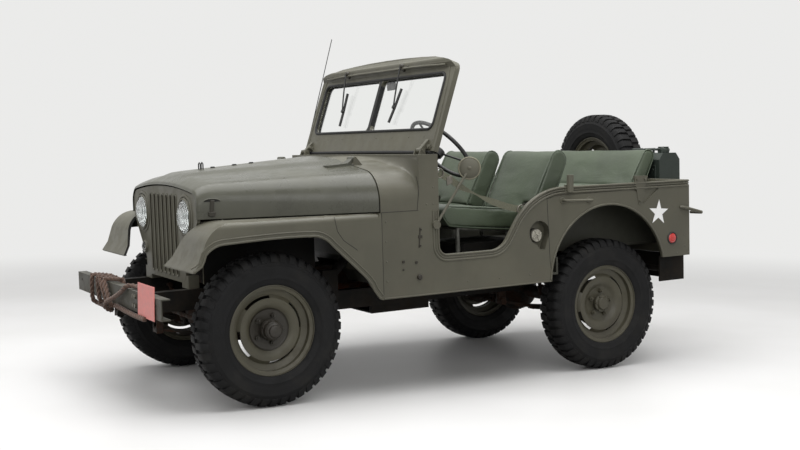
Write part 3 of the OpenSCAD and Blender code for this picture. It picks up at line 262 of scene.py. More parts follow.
def vinyl(name, base):
    """Coated seat cloth: leather grain, creases, worn lighter patches."""
    m = Stuff(name)
    tone = m.remap(m.noise(3.2, 4, 0.6), 0.3, 0.7)
    c = m.blend(tone, shade(base, 0.82), shade(base, 1.15))
    worn = m.remap(m.noise(11, 6, 0.7), 0.55, 0.78, 0, 0.3)
    c = m.blend(worn, c, shade(base, 1.5))
    grain = m.cells(520)
    m.set(Base_Color=c, Roughness=m.remap(tone, 0, 1, 0.42, 0.56), Sheen_Weight=0.05, Coat_Weight=0.08,
          Coat_Roughness=0.4)
    m.bump(grain, 0.0005, 0.35)
    m.bump(m.noise(8, 3, 0.5, m.scaled(1, 0.5, 1.6), 0.6), 0.010, 0.35)
    m.bump(m.noise(28, 2, 0.5, None, 1.2), 0.003, 0.25)
    return m.mat


def fibre(name, a, b, scale=160):
    """Woven or twisted fibre in two tones."""
    m = Stuff(name)
    n = m.noise(scale, 6, 0.7)
    c = m.blend(m.remap(n, 0.3, 0.7), a, b)
    c = m.blend(m.remap(m.noise(9, 4), 0.5, 0.75, 0, 0.5), c, shade(a, 0.5))
    m.set(Base_Color=c, Roughness=0.92, Sheen_Weight=0.25)
    m.bump(n, 0.0014, 0.9)
    return m.mat


def plain(name, col, rough, metallic=0.0, vary=0.15, scale=30, bump=0.0003, **kw):
    """One slightly uneven colour, painted or bare."""
    m = Stuff(name)
    n = m.noise(scale, 5, 0.6)
    c = m.blend(m.remap(n, 0.3, 0.7), shade(col, 1 - vary), shade(col, 1 + vary))
    m.set(Base_Color=c, Roughness=m.remap(n, 0.3, 0.7, max(0.02, rough - 0.06), min(1, rough + 0.08)),
          Metallic=metallic, **kw)
    m.bump(m.noise(scale * 8, 3, 0.5), bump, 0.4)
    return m.mat


def glass(name, tint, rough=0.0, fluted=False):
    """Thick clear glass, with the flutes of a lamp lens if wanted."""
    m = Stuff(name)
    n = m.noise(6, 3)
    m.set(Base_Color=m.blend(m.remap(n, 0.3, 0.7), tint, shade(tint, 0.97)),
          Roughness=rough, Transmission_Weight=1.0, IOR=1.45, Alpha=1.0)
    if fluted:
        m.bump(m.wave(26, "Y"), 0.004, 0.7)
        m.bump(m.wave(9, "Z"), 0.003, 0.4)
    else:
        m.bump(n, 0.0002, 0.2)
    return m.mat


def pane(name):
    """Flat window glass that light passes straight through, with a faint reflection and smears."""
    m = Stuff(name)
    clear = m.node("BsdfTransparent", Color=(0.99, 0.995, 0.99, 1))
    gloss = m.node("BsdfGlossy", Color=(1, 1, 1, 1), Roughness=0.02)
    f = m.node("LayerWeight", Blend=0.5)
    sheen = m.math("MULTIPLY", m.math("POWER", f.outputs["Facing"], 4.0), 0.5)
    dirt = m.remap(m.noise(5, 6, 0.7), 0.45, 0.8, 0.02, 0.07)
    m.link(m.mixed(m.math("ADD", sheen, dirt), clear, gloss).outputs[0], m.out.inputs[0])
    return m.mat


M = {
    "body": paint("olive_paint", srgb(87, 85, 73)),
    # darker, glossier copy of the olive paint for the bonnet; its darker colour is painted shade that tones
    # down the lit top
    "bonnet": paint("olive_paint_bonnet_shaded", srgb(76, 76, 66), dusty=0.03, rough=(0.27, 0.42), grime=0.0),
    # black chassis paint, also used as painted shade under and inside the front fenders
    "under": paint("black_chassis_paint_and_painted_shade", srgb(20, 20, 19), dusty=0.07, grime=0.35, grime_z=0.75,
                   rough=(0.55, 0.8), chips=0.9, mud=(0.05, 0.038, 0.028), gloss=0.1),
    "floor": paint("floor_paint", srgb(52, 52, 44), dusty=0.3, grime=0.2, rough=(0.5, 0.7)),
    "bumper": paint("bumper_paint", srgb(58, 57, 48), dusty=0.3, grime=0.5, rough=(0.5, 0.7), chips=0.9,
                    mud=(0.05, 0.04, 0.03)),
    "wheel": paint("wheel_paint", srgb(80, 77, 63), dusty=0.1, grime=0.5, grime_z=0.5, rough=(0.42, 0.62),
                   mud=(0.04, 0.034, 0.026)),
    "hub": paint("dirty_hub_paint", srgb(46, 43, 35), dusty=0.1, grime=0.8, grime_z=0.8, rough=(0.4, 0.6),
                 chips=0.9, mud=(0.025, 0.02, 0.016)),
    "gear": rusty("dirty_iron", srgb(34, 31, 28), srgb(78, 50, 34), 0.5),
    "rust": rusty("rusted_steel", srgb(58, 40, 30), srgb(116, 66, 38), 0.9),
    "black": plain("satin_black_paint", srgb(26, 26, 25), 0.42, vary=0.25),
    "tyre": rubber("tyre_rubber"),
    "seal": plain("seal_rubber", srgb(20, 20, 20), 0.7, vary=0.3, scale=80),
    "seat": vinyl("green_coated_cloth", srgb(61, 71, 53)),
    "piping": vinyl("green_piping", srgb(60, 71, 53)),
    "rope": fibre("rope_fibre", srgb(64, 45, 36), srgb(108, 82, 67)),
    "webbing": fibre("olive_webbing", srgb(84, 84, 68), srgb(108, 108, 90), 300),
    "can": paint("can_paint", srgb(38, 45, 40), dusty=0.12, grime=0.1, rough=(0.35, 0.55)),
    "chrome": plain("chromed_steel", srgb(214, 216, 216), 0.12, 1.0, 0.04, 20, 0.0001),
    "dull": plain("dull_steel", srgb(112, 108, 100), 0.5, 0.8, 0.25, 50),
    "pane": pane("window_glass"),
    "lens": glass("lamp_lens", (0.96, 0.98, 0.97, 1), 0.03, True),
    "red": plain("red_enamel", srgb(222, 136, 130), 0.45, vary=0.08),
    "redlens": plain("red_reflector", srgb(196, 34, 26), 0.2, vary=0.15, scale=220, Coat_Weight=0.6),
    "white": plain("white_paint", srgb(252, 252, 251), 0.5, vary=0.02),
    # dark paint for seams and the radiator core, also used as painted shade in the bonnet latch recesses
    "gap_and_shade": plain("dark_gap_and_painted_shade", srgb(22, 21, 18), 0.85, vary=0.3),
    "dial": plain("dial_face", srgb(196, 194, 184), 0.4, vary=0.05),
    "tube": plain("worn_tube_paint", srgb(98, 98, 92), 0.38, 0.35, 0.3, 25),
    "cap": plain("worn_cap_metal", srgb(150, 147, 136), 0.42, 0.5, 0.2, 40),
    "rim": paint("worn_rim_paint", srgb(120, 116, 98), dusty=0.1, grime=0.0),
    "mirror": plain("mirror_glass", srgb(225, 228, 230), 0.03, 1.0, 0.02, 6, 0.0),
}

# the material that each slot of the record shows in
SLOTS = {"body_paint": "body", "chassis_paint": "under", "running_gear": "gear", "black_paint": "black",
         "wheel_paint": "wheel", "tyre_rubber": "tyre",
         "seat_cloth": "seat", "clear_glass": "pane", "lamp_glass": "lens", "rope_fibre": "rope",
         "webbing": "webbing", "can_paint": "can",
         "exhaust_steel": "rust"}


# ---------------------------------------------------------------- building helpers
def mesh_of(name, verts, faces, weld=0.0):
    """Mesh of the verts and faces, with its faces turned outwards and verts closer than weld joined."""
    me = bpy.data.meshes.new(name)
    me.from_pydata([tuple(v) for v in verts], [], faces)
    me.validate()
    bm = bmesh.new()
    bm.from_mesh(me)
    if weld:
        bmesh.ops.remove_doubles(bm, verts=bm.verts, dist=weld)
    bmesh.ops.recalc_face_normals(bm, faces=bm.faces)
    bm.to_mesh(me)
    bm.free()
    return me


def build(name, verts, faces, mat, body, sharp=35, bevel=0.0, segs=2, thick=0.0):
    return finish_piece(name, mesh_of(name, verts, faces, 1e-6), mat, body, sharp, bevel, segs, thick)


def finish_piece(name, me, mat, body, sharp=35, bevel=0.0, segs=2, thick=0.0):
    """Object of the mesh with its material, smooth faces, rounded edges and body."""
    ob = bpy.data.objects.new(name, me)
    scene.collection.objects.link(ob)
    me.materials.clear()
    me.materials.append(M[mat])
    for p in me.polygons:
        p.use_smooth = True
    me.set_sharp_from_angle(angle=math.radians(sharp))
    if thick:
        m = ob.modifiers.new("thick", "SOLIDIFY")
        m.thickness, m.offset = thick, 0
    if bevel:
        m = ob.modifiers.new("edges", "BEVEL")
        m.width, m.segments, m.limit_method, m.angle_limit = bevel, segs, "ANGLE", math.radians(sharp)
        m.harden_normals = True
        m.use_clamp_overlap = True
    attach(ob, body)
    return ob


def refine(node, name, mat, body, bevel=0.002, sharp=28, segs=2, dark=False):
    """A cleaner copy of a CAD node with small rounded edges and smooth curved faces, shown in its place; dark
    adds black painted shade on its undersides and inner walls.
    """
    src = frame["nodes"][node].data
    me = bpy.data.meshes.new(name)
    me.from_pydata([tuple(v.co) for v in src.vertices], [], [tuple(p.vertices) for p in src.polygons])
    bm = bmesh.new()
    bm.from_mesh(me)
    bmesh.ops.remove_doubles(bm, verts=bm.verts, dist=3e-5)
    bmesh.ops.dissolve_degenerate(bm, edges=bm.edges, dist=1e-5)
    if not dark:
        bmesh.ops.dissolve_limit(bm, angle_limit=math.radians(0.7), verts=bm.verts, edges=bm.edges,
                                 delimit={"NORMAL"})
    bmesh.ops.recalc_face_normals(bm, faces=bm.faces)
    bm.to_mesh(me)
    bm.free()
    ob = finish_piece(name, me, mat, body, sharp, bevel, segs)
    if dark:
        # the undersides and the inner walls get the black chassis paint as painted shade
        me.materials.append(M["under"])
        for p in me.polygons:
            if p.normal.z < -0.25 or (abs(p.center.y) < 0.62 and abs(p.normal.y) > 0.6):
                p.material_index = 1
    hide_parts(node)
    return ob


def frames_along(pts, closed=False):
    """Two directions across the line at each of its points, carried along without twisting."""
    n = len(pts)
    dirs = []
    for i in range(n):
        a = pts[i - 1] if (i > 0 or closed) else pts[0]
        b = pts[(i + 1) % n] if (i < n - 1 or closed) else pts[-1]
        dirs.append((b - a).normalized())
    up = Vector((0, 0, 1)) if abs(dirs[0].z) < 0.9 else Vector((1, 0, 0))
    u = (up - dirs[0] * up.dot(dirs[0])).normalized()
    out = []
    for d in dirs:
        u = (u - d * u.dot(d)).normalized()
        out.append((u.copy(), d.cross(u)))
    return out


def spline(pts, step=0.01, closed=False):
    """Catmull-Rom through the points, resampled at about step metres."""
    pts = [Vector(p) for p in pts]
    n = len(pts)
    out = []
    last = n if closed else n - 1
    for i in range(last):
        p1, p2 = pts[i], pts[(i + 1) % n]
        p0 = pts[i - 1] if (i > 0 or closed) else p1 * 2 - p2
        p3 = pts[(i + 2) % n] if (i + 2 < n or closed) else p2 * 2 - p1
        k = max(1, int((p2 - p1).length / step))
        for j in range(k):
            t = j / k
            out.append(0.5 * ((2 * p1) + (p2 - p0) * t + (2 * p0 - 5 * p1 + 4 * p2 - p3) * t * t
                              + (3 * p1 - p0 - 3 * p2 + p3) * t ** 3))
    if not closed:
        out.append(pts[-1])
    return out


def tube_mesh(pts, r, sides=10, closed=False, flat=1.0, normal=None):
    """Verts and faces of a tube; flat squeezes it along normal, for half-round beads."""
    verts, faces = [], []
    n = len(pts)
    fr = frames_along(pts, closed)
    for i, p in enumerate(pts):
        u, v = fr[i]
        rr = r(i / max(1, n - 1)) if callable(r) else r
        for k in range(sides):
            a = 2 * math.pi * k / sides
            d = (u * math.cos(a) + v * math.sin(a)) * rr
            if normal is not None:
                d -= normal * d.dot(normal) * (1 - flat)
            verts.append(p + d)
    for i in range(n if closed else n - 1):
        for k in range(sides):
            a, b = i * sides + k, i * sides + (k + 1) % sides
            c, d = (i + 1) % n * sides + k, (i + 1) % n * sides + (k + 1) % sides
            faces.append((a, b, d, c))
    if not closed:
        faces.append(tuple(range(sides))[::-1])
        faces.append(tuple((n - 1) * sides + k for k in range(sides)))
    return verts, faces


def joined(name, parts, mat, sharp=35, bevel=0.0, segs=2, body="chassis"):
    """One piece from several (verts, faces) lists, on the chassis body unless another is named."""
    verts, faces = [], []
    for v, f in parts:
        k = len(verts)
        verts += list(v)
        faces += [tuple(i + k for i in q) for q in f]
    return build(name, verts, faces, mat, body, sharp, bevel, segs)


def lathe_mesh(profile, place, segs=48, closed_profile=False):
    """Turn a list of (r, z) in millimetres about the local z axis; place maps local mm to row metres."""
    verts, faces = [], []
    m = len(profile)
    for i in range(segs):
        a = 2 * math.pi * i / segs
        for r, z in profile:
            verts.append(place(r * math.cos(a), r * math.sin(a), z))
    for i in range(segs):
        j = (i + 1) % segs
        for k in range(m if closed_profile else m - 1):
            l = (k + 1) % m
            faces.append((i * m + k, j * m + k, j * m + l, i * m + l))
    return verts, faces


def grid_faces(rows, columns, first=0):
    """Faces of a grid whose verts run row by row from the first."""
    corners = [first + i * columns + j for i in range(rows - 1) for j in range(columns - 1)]
    return [(k, k + 1, k + columns + 1, k + columns) for k in corners]


def box_mesh(lo, hi, place=B):
    (x0, y0, z0), (x1, y1, z1) = lo, hi
    v = [place(x, y, z) for x in (x0, x1) for y in (y0, y1) for z in (z0, z1)]
    return v, [(0, 1, 3, 2), (4, 6, 7, 5), (0, 4, 5, 1), (2, 3, 7, 6), (0, 2, 6, 4), (1, 5, 7, 3)]


def prism_mesh(outline, lo, hi, place):
    """Outline of (a, b) points swept from lo to hi; place(a, b, c) maps to row metres."""
    n = len(outline)
    v = [place(a, b, lo) for a, b in outline] + [place(a, b, hi) for a, b in outline]
    f = [tuple(range(n)), tuple(range(2 * n - 1, n - 1, -1))]
    f += [(i, (i + 1) % n, n + (i + 1) % n, n + i) for i in range(n)]
    return v, f


def at_point(centre, axis, up=None):
    """Placement whose local z runs along axis from centre (row metres); local units are millimetres."""
    axis = Vector(axis).normalized()
    side = (Vector(up) if up else (Vector((0, 0, 1)) if abs(axis.z) < 0.9
                                   else Vector((1, 0, 0)))).cross(axis).normalized()
    top = axis.cross(side)
    c = Vector(centre)
    return lambda x, y, z: c + (side * x + top * y + axis * z) / 1000


def hexagon(r):
    return arc(0, 0, r, 0, 300, 5)


def bolt_mesh(centre, axis, r=8, h=6):
    return prism_mesh(hexagon(r), -1, h, at_point(centre, axis))


def rivet_mesh(centre, axis, r=5, h=2.2):
    return lathe_mesh([(0.01, h), (r * 0.5, h * 0.86), (r * 0.85, h * 0.5), (r, -0.5)],
                      at_point(centre, axis), 10)


def on_side(s, to=L):
    """Placement on the side s of the car: a forwards, b up and c out from the middle."""
    return lambda a, b, c: to(a, s * c, b)


def spun(place, angle):
    """The placement turned by angle about its local z axis."""
    ca, sa = math.cos(angle), math.sin(angle)
    return lambda a, b, c: place(a * ca - b * sa, a * sa + b * ca, c)


def around(place, r, degrees):
    """The placement moved to a point on a circle about its local z axis."""
    x, y = r * math.cos(math.radians(degrees)), r * math.sin(math.radians(degrees))
    return lambda a, b, c: place(x + a, y + b, c)


# ---------------------------------------------------------------- CAD nodes shown again with rounded edges
for node, mat, slot, body, bevel in [
    ("body_side_left", "body", "body_paint", "chassis", 0.003),
    ("body_side_right", "body", "body_paint", "chassis", 0.003),
    ("rear_panel", "body", "body_paint", "chassis", 0.003),
    ("cowl", "body", "body_paint", "chassis", 0.003),
    ("floor_pan", "floor", "body_paint", "chassis", 0.002),
    ("front_fenders", "body", "body_paint", "chassis", 0.003),
    ("front_bumper", "bumper", "body_paint", "chassis", 0.002),
    ("grille", "body", "body_paint", "chassis", 0.003),
    ("windscreen_frame", "body", "body_paint", "windscreen", 0.003),
    ("rear_carriers", "body", "body_paint", "chassis", 0.002),
    ("frame", "under", "chassis_paint", "chassis", 0.002),
    ("seat_frames", "tube", "chassis_paint", "chassis", 0.0),
    ("passenger_frame", "tube", "chassis_paint", "passenger_seat_body", 0.0),
    ("steering_column", "under", "black_paint", "chassis", 0.0015),
    ("steering_wheel", "black", "black_paint", "steering_wheel_body", 0.0),
    ("side_mirror", "body", "body_paint", "chassis", 0.0015),
    ("fuel_tank", "under", "chassis_paint", "chassis", 0.004),
    ("exhaust", "rust", "exhaust_steel", "chassis", 0.0015),
    ("powertrain", "gear", "running_gear", "chassis", 0.004),
    ("front_axle", "gear", "running_gear", "chassis", 0.0),
    ("rear_axle", "gear", "running_gear", "chassis", 0.0),
    ("suspension", "gear", "running_gear", "chassis", 0.001),
    ("knuckle_left", "gear", "running_gear", "knuckle_left_body", 0.001),
    ("knuckle_right", "gear", "running_gear", "knuckle_right_body", 0.001),
    ("tie_rod", "gear", "running_gear", "tie_rod_body", 0.0),
]:
    # the front fenders get no rounded edges, and black painted shade on their undersides and inner walls
    fenders = node == "front_fenders"
    refine(node, node + "_skin", mat, body, 0.0 if fenders else bevel, dark=fenders)
frame["nodes"]["windscreen_glass"].data.materials.clear()
frame["nodes"]["windscreen_glass"].data.materials.append(M["pane"])

# ---------------------------------------------------------------- bonnet
B_FRONT, B_REAR, COWL_X = 1335, 473, 467
BODY_Y = 765


def along_bonnet(x):
    return (B_FRONT - x) / (B_FRONT - COWL_X)


def bonnet_z(x, y):
    """Height of the bonnet's top skin, and the half width of its arched part, at x."""
    t = along_bonnet(x)
    w, r, crown = mix(522, BODY_Y, t), mix(84, 160, t), mix(30, 57, t)
    top = 1217 - 0.075 * (x - COWL_X) - 33 * max(0, (x - B_FRONT + 110) / 110) ** 2
    bulge = 12 * smooth((mix(150, 360, t) - abs(y)) / 50 + 0.5) * smooth((B_FRONT - 20 - x) / 120)
    return w, r, crown, top, bulge


def bonnet_section(x, g):
    w, r, crown, top, _ = bonnet_z(x, 0)
    w, r, top = w - g, r - g, top - g
    sz = top - crown - r
    pts = [(-w, 951), (-w, mix(951, sz, 0.5))]
    pts += [(-(w - r) - r * math.cos(math.radians(a)), sz + r * math.sin(math.radians(a)))
            for a in [84 * i / 9 for i in range(9)]]
    for i in range(33):
        y = (w - r) * (2 * i / 32 - 1) * 0.985
        pts.append((y, top - crown * (y / (w - r)) ** 2 + bonnet_z(x, y)[4]))
    pts += [((w - r) + r * math.cos(math.radians(a)), sz + r * math.sin(math.radians(a)))
            for a in [84 * i / 9 for i in range(8, -1, -1)]]
    return pts + [(w, mix(951, sz, 0.5)), (w, 951)]


xs = ([B_FRONT - 110 * (i / 10) ** 1.3 for i in range(11)]
      + [mix(B_FRONT - 110, B_REAR, i / 14) for i in range(1, 15)])
outer = [[B(x - (4 if i == 0 else 0), y, z - (3 if i == 0 else 0)) for y, z in bonnet_section(x, 0)]
         for i, x in enumerate(xs)]
inner = [[B(x, y, z) for y, z in bonnet_section(x, 9)] for x in xs]
n, m = len(xs), len(outer[0])
verts = [p for row in outer for p in row] + [p for row in inner for p in row]
# outer and inner skins, then the rim that joins them all round
under_skin = n * m
faces = []
for k in (0, under_skin):
    faces += grid_faces(n, m, k)
ring = [j for j in range(m)] + [i * m + m - 1 for i in range(1, n)]
ring += [(n - 1) * m + j for j in range(m - 2, -1, -1)] + [i * m for i in range(n - 2, 0, -1)]
faces += [(a, b, under_skin + b, under_skin + a) for a, b in zip(ring, ring[1:] + ring[:1])]
bonnet = build("bonnet_skin", verts, faces, "bonnet", "bonnet_lid", 50, 0.002)
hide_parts("bonnet")
parts = []
for s in (-1, 1):
    hx, hz, y0 = 457, 1216, s * 450
    parts.append(lathe_mesh([(5.1, -30), (9, -30), (9, 30), (5.1, 30)], at_point(B(hx, y0, hz), (0, 1, 0)),
                            20, True))
    strap = [(hx, hz - 7), (hx + 18, 1185 - 4), (hx + 150, 1185 - 17), (hx + 152, 1185 - 1),
             (hx + 36, 1185 + 8), (hx, hz + 7)]
    parts.append(prism_mesh(strap, y0 - 26, y0 + 26, on_side(1, B)))
    for bx in (60, 95, 130):
        parts.append(bolt_mesh(B(hx + bx, y0 + 12, 1191 - bx * 0.06), (0.05, 0, 1), 7, 4))
        parts.append(bolt_mesh(B(hx + bx, y0 - 12, 1191 - bx * 0.06), (0.05, 0, 1), 7, 4))
joined("bonnet_hinges", parts, "bonnet", 30, 0.0012, body="bonnet_lid")

# ---------------------------------------------------------------- tyres
TYRE_R, RIM_R = 372, 221
BEAD_R, HALF_RIM = 204, 66


def tyre_parts(place, lugs=44):
    """Bar-tread tyre about the local z axis: carcass, sidewall rings and staggered lugs on both shoulders."""
    side = [(BEAD_R + 1, 52), (RIM_R - 1, 60), (RIM_R + 1, 67), (RIM_R + 6, 72), (RIM_R + 16, 78),
            (RIM_R + 30, 82), (RIM_R + 33, 85), (RIM_R + 37, 85), (RIM_R + 40, 84), (RIM_R + 56, 87.5),
            (RIM_R + 66, 88.5), (RIM_R + 84, 87), (RIM_R + 88, 88), (RIM_R + 92, 88), (RIM_R + 96, 85),
            (TYRE_R - 38, 80), (TYRE_R - 24, 72), (TYRE_R - 16, 64), (TYRE_R - 12, 52), (TYRE_R - 11, 30),
            (TYRE_R - 11, 8)]
    carcass = lathe_mesh(side + [(r, -z) for r, z in reversed(side)], place, 96)
    lining = [(BEAD_R + 1, 52), (BEAD_R + 1, 30), (RIM_R + 20, 40), (RIM_R + 60, 74), (TYRE_R - 40, 66),
              (TYRE_R - 28, 0)]
    inner = [lathe_mesh([(r, s * z) for r, z in lining], place, 48) for s in (1, -1)]
    verts, faces = [], []
    pitch = 2 * math.pi / lugs
    top = [(TYRE_R, 3), (TYRE_R, 34), (TYRE_R - 1.5, 55), (TYRE_R - 6, 66), (TYRE_R - 15, 73),
           (TYRE_R - 27, 80), (TYRE_R - 40, 84)]
    low = [(TYRE_R - 13, 3), (TYRE_R - 13, 34), (TYRE_R - 14, 50), (TYRE_R - 18, 59), (TYRE_R - 27, 66),
           (TYRE_R - 38, 73), (TYRE_R - 48, 77)]
    for s in (-1, 1):
        for i in range(lugs):
            a0 = (i + (0.5 if s > 0 else 0)) * pitch
            base = len(verts)
            for which, line in (("t", top), ("l", low)):
                for j, (r, z) in enumerate(line):
                    u = j / (len(line) - 1)
                    half = (0.30 + 0.03 * math.sin(u * 3)) * pitch * (1 if which == "t" else 1.14)
                    skew = pitch * 0.10 * math.sin(u * math.pi)
                    for e in (-1, 1):
                        a = a0 + skew + e * half
                        verts.append(place(r * math.cos(a), r * math.sin(a), s * z))
            n = len(top)
            t = [base + j for j in range(2 * n)]
            l = [base + 2 * n + j for j in range(2 * n)]
            for j in range(0, 2 * n - 2, 2):
                faces.append((t[j], t[j + 1], t[j + 3], t[j + 2]))
                faces.append((t[j], t[j + 2], l[j + 2], l[j]))
                faces.append((t[j + 1], l[j + 1], l[j + 3], t[j + 3]))
            faces.append((t[0], l[0], l[1], t[1]))
            faces.append((t[-2], t[-1], l[-1], l[-2]))
    return [carcass, *inner, (verts, faces)]


# ---------------------------------------------------------------- wheels
DISC_Z, DISH_Z, DISH_R, WELL_R = 24, 6, 106, 175


def rim_disc_parts(place):
    """Drop-centre rim with rolled flanges and a dished disc; local z points outwards."""
    rim = [(RIM_R - 4, HALF_RIM + 1), (RIM_R, HALF_RIM), (RIM_R + 1, HALF_RIM - 4),
           (RIM_R - 1, HALF_RIM - 8), (BEAD_R, HALF_RIM - 13), (BEAD_R, 30), (WELL_R, 18), (WELL_R, -18),
           (BEAD_R, -30), (BEAD_R, -HALF_RIM + 13), (RIM_R - 1, -HALF_RIM + 8), (RIM_R, -HALF_RIM),
           (RIM_R - 5, -HALF_RIM - 1), (RIM_R - 6, -HALF_RIM + 6), (BEAD_R - 5, -HALF_RIM + 12),
           (BEAD_R - 5, -28), (WELL_R - 5, -16), (WELL_R - 5, 16), (BEAD_R - 5, 28),
           (BEAD_R - 5, HALF_RIM - 12), (RIM_R - 6, HALF_RIM - 6)]
    return lathe_mesh(rim, place, 96, True)


def disc_mesh():
    """Disc with four long slots near its rim, in local millimetres as metres, cut once and shared."""
    prof = [(44, DISH_Z - 5), (60, DISH_Z - 5), (DISH_R - 14, DISH_Z - 4), (DISH_R - 2, DISH_Z + 2),
            (DISH_R + 8, DISC_Z - 5), (DISH_R + 20, DISC_Z - 1), (WELL_R - 38, DISC_Z + 2),
            (WELL_R - 24, DISC_Z + 1), (WELL_R - 12, 14), (WELL_R - 6, 6), (WELL_R - 3, 6),
            (WELL_R - 3, 14), (WELL_R - 10, 21), (WELL_R - 22, DISC_Z + 7), (WELL_R - 38, DISC_Z + 8),
            (DISH_R + 20, DISC_Z + 5), (DISH_R + 6, DISC_Z + 1), (DISH_R - 5, DISH_Z + 6),
            (DISH_R - 15, DISH_Z + 2), (60, DISH_Z + 1), (44, DISH_Z + 1)]
    to_mesh = lambda x, y, z: Vector((x, y, z)) / 1000
    disc = bpy.data.objects.new("disc_work", mesh_of("disc", *lathe_mesh(prof, to_mesh, 96, True)))
    scene.collection.objects.link(disc)
    cut_v, cut_f = [], []
    for q in range(4):
        mid = 90 * q + 45
        ring = arc(0, 0, 166, mid - 25, mid + 25, 14) + arc(0, 0, 154, mid + 25, mid - 25, 14)
        pv, pf = prism_mesh(ring, -20, 60, to_mesh)
        k = len(cut_v)
        cut_v += pv
        cut_f += [tuple(i + k for i in face) for face in pf]
    cutter = bpy.data.objects.new("cut_work", mesh_of("cut", cut_v, cut_f))
    scene.collection.objects.link(cutter)
    mod = disc.modifiers.new("b", "BOOLEAN")
    mod.operation, mod.object, mod.solver = "DIFFERENCE", cutter, "EXACT"
    dg = bpy.context.evaluated_depsgraph_get()
    out = bpy.data.meshes.new_from_object(disc.evaluated_get(dg))
    verts = [v.co.copy() * 1000 for v in out.vertices]
    faces = [tuple(p.vertices) for p in out.polygons]
    bpy.data.objects.remove(disc)
    bpy.data.objects.remove(cutter)
    return verts, faces


disc_v, disc_f = disc_mesh()
HALF_BASE, HALF_TRACK = 1028.5, 622.5
NUT_CIRCLE_R = 69.85


def wheel_place(x, side):
    """Placement at a wheel's centre: local x forwards and local z outwards."""
    return lambda a, b, c: L(x + a, side * (HALF_TRACK + c), TYRE_R + b)


def spare_place(a, b, c):
    return B(-1810 - c, -290 + a, 1062 + b)


def wheel_pieces(tag, place, body, front, spin):
    """Tyre, rim, nuts and hub of one wheel, turned by spin; the spare has only its tyre and rim."""
    spare = tag == "spare"
    rot = spun(place, spin)
    tread = joined("tyre_" + tag + "_tread", tyre_parts(rot), "tyre", 32, body=body)
    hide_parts("spare_tyre" if spare else "tyre_" + tag)
    if front:
        dish = [(44, DISH_Z + 1.6), (60, DISH_Z + 1.6), (DISH_R - 15, DISH_Z + 2.6),
                (DISH_R - 5, DISH_Z + 6.8), (DISH_R - 1, DISH_Z + 11), (DISH_R - 3, DISH_Z + 5),
                (44, DISH_Z)]
        joined("dish_" + tag, [lathe_mesh(dish, rot, 64, True)], "hub", 50, body=body)
    parts = [rim_disc_parts(rot), ([rot(*v) for v in disc_v], disc_f)]
    rim = joined("wheel_" + tag + "_rim", parts, "wheel", 34, 0.001, 1, body=body)
    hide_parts("spare_wheel" if spare else "wheel_" + tag)
    if spare:
        return
    hub_mat = "hub" if front else "wheel"
    nuts = []
    for i in range(5):
        p = around(rot, NUT_CIRCLE_R, 72 * i + 18)
        nuts.append(prism_mesh(hexagon(13), DISH_Z, DISH_Z + 17, p))
        nuts.append(lathe_mesh([(0.1, DISH_Z + 27), (6, DISH_Z + 26), (7, DISH_Z + 16)], p, 12))
    joined("nuts_" + tag, nuts, hub_mat, 30, 0.001, body=body)
    drum = [(118, -45), (128, -45), (128, DISH_Z - 5), (44, DISH_Z - 5), (44, DISH_Z - 12),
            (118, DISH_Z - 12)]
    hub = [(30.2, -10), (44, -10), (44, 20)]
    if front:
        hub += [(50, 24), (54, 38), (52, 46), (46, 52), (46, 72), (43, 78), (40, 80), (40, 84), (31, 90),
                (29, 97), (24, 100), (0.1, 101)]
        circle_r, bolt_r, lo, hi = 45, 7, 46, 58
    else:
        hub += [(47, 22), (50, 30), (48, 36), (38, 40), (36, 48), (31, 53), (0.1, 54)]
        circle_r, bolt_r, lo, hi = 43, 6, 34, 44
    parts = [lathe_mesh(drum, rot, 64, True), lathe_mesh(hub, rot, 48)]
    for i in range(6):
        parts.append(prism_mesh(hexagon(bolt_r), lo, hi, around(rot, circle_r, 60 * i)))
    joined("hub_" + tag, parts, hub_mat, 32, 0.0012, body=body)


for end, x, spins in (("front", HALF_BASE, (0.35, 0.9)), ("rear", -HALF_BASE, (0.1, 0.5))):
    for side, s, spin in (("left", 1, spins[0]), ("right", -1, spins[1])):
        tag = end + "_" + side
        wheel_pieces(tag, wheel_place(x, s), "wheel_" + tag + "_body", end == "front", spin)
SPARE_SPIN = 0.2
wheel_pieces("spare", spare_place, "chassis", False, SPARE_SPIN)

# ---------------------------------------------------------------- lamps
GX, LAMP_Y, LAMP_Z = 1328, 340, 957
lens_parts, ring_parts, bowl_parts = [], [], []
for s in (-1, 1):
    p = at_point(B(GX, s * LAMP_Y, LAMP_Z), (C2, 0, -S2))
    lens_parts.append(lathe_mesh([(0.1, 33), (30, 31.5), (55, 26), (74, 17), (83, 9), (84, 5), (80, 4),
                                  (70, 13), (50, 22), (25, 27), (0.1, 28)], p, 48))
    bowl_parts.append(lathe_mesh([(0.1, -38), (20, -36), (45, -26), (65, -10), (80, 5), (84, 5), (86, -4),
                                  (70, -24), (40, -42), (0.1, -46)], p, 48))
    bowl_parts.append(lathe_mesh([(0.1, -12), (9, -14), (11, -20), (11, -38)], p, 16))
    ring_parts.append(lathe_mesh([(82, 4), (84, 10), (88, 12), (92, 10), (94, 4), (94, -14), (90, -14),
                                  (82, -2)], p, 56, True))
lens = joined("headlamp_lenses", lens_parts, "lens", 60)
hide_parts("front_lamps")
joined("headlamp_reflectors", bowl_parts, "chrome", 60)
joined("headlamp_rings", ring_parts, "body", 50)
rims, marks, mark_rings = [], [], []
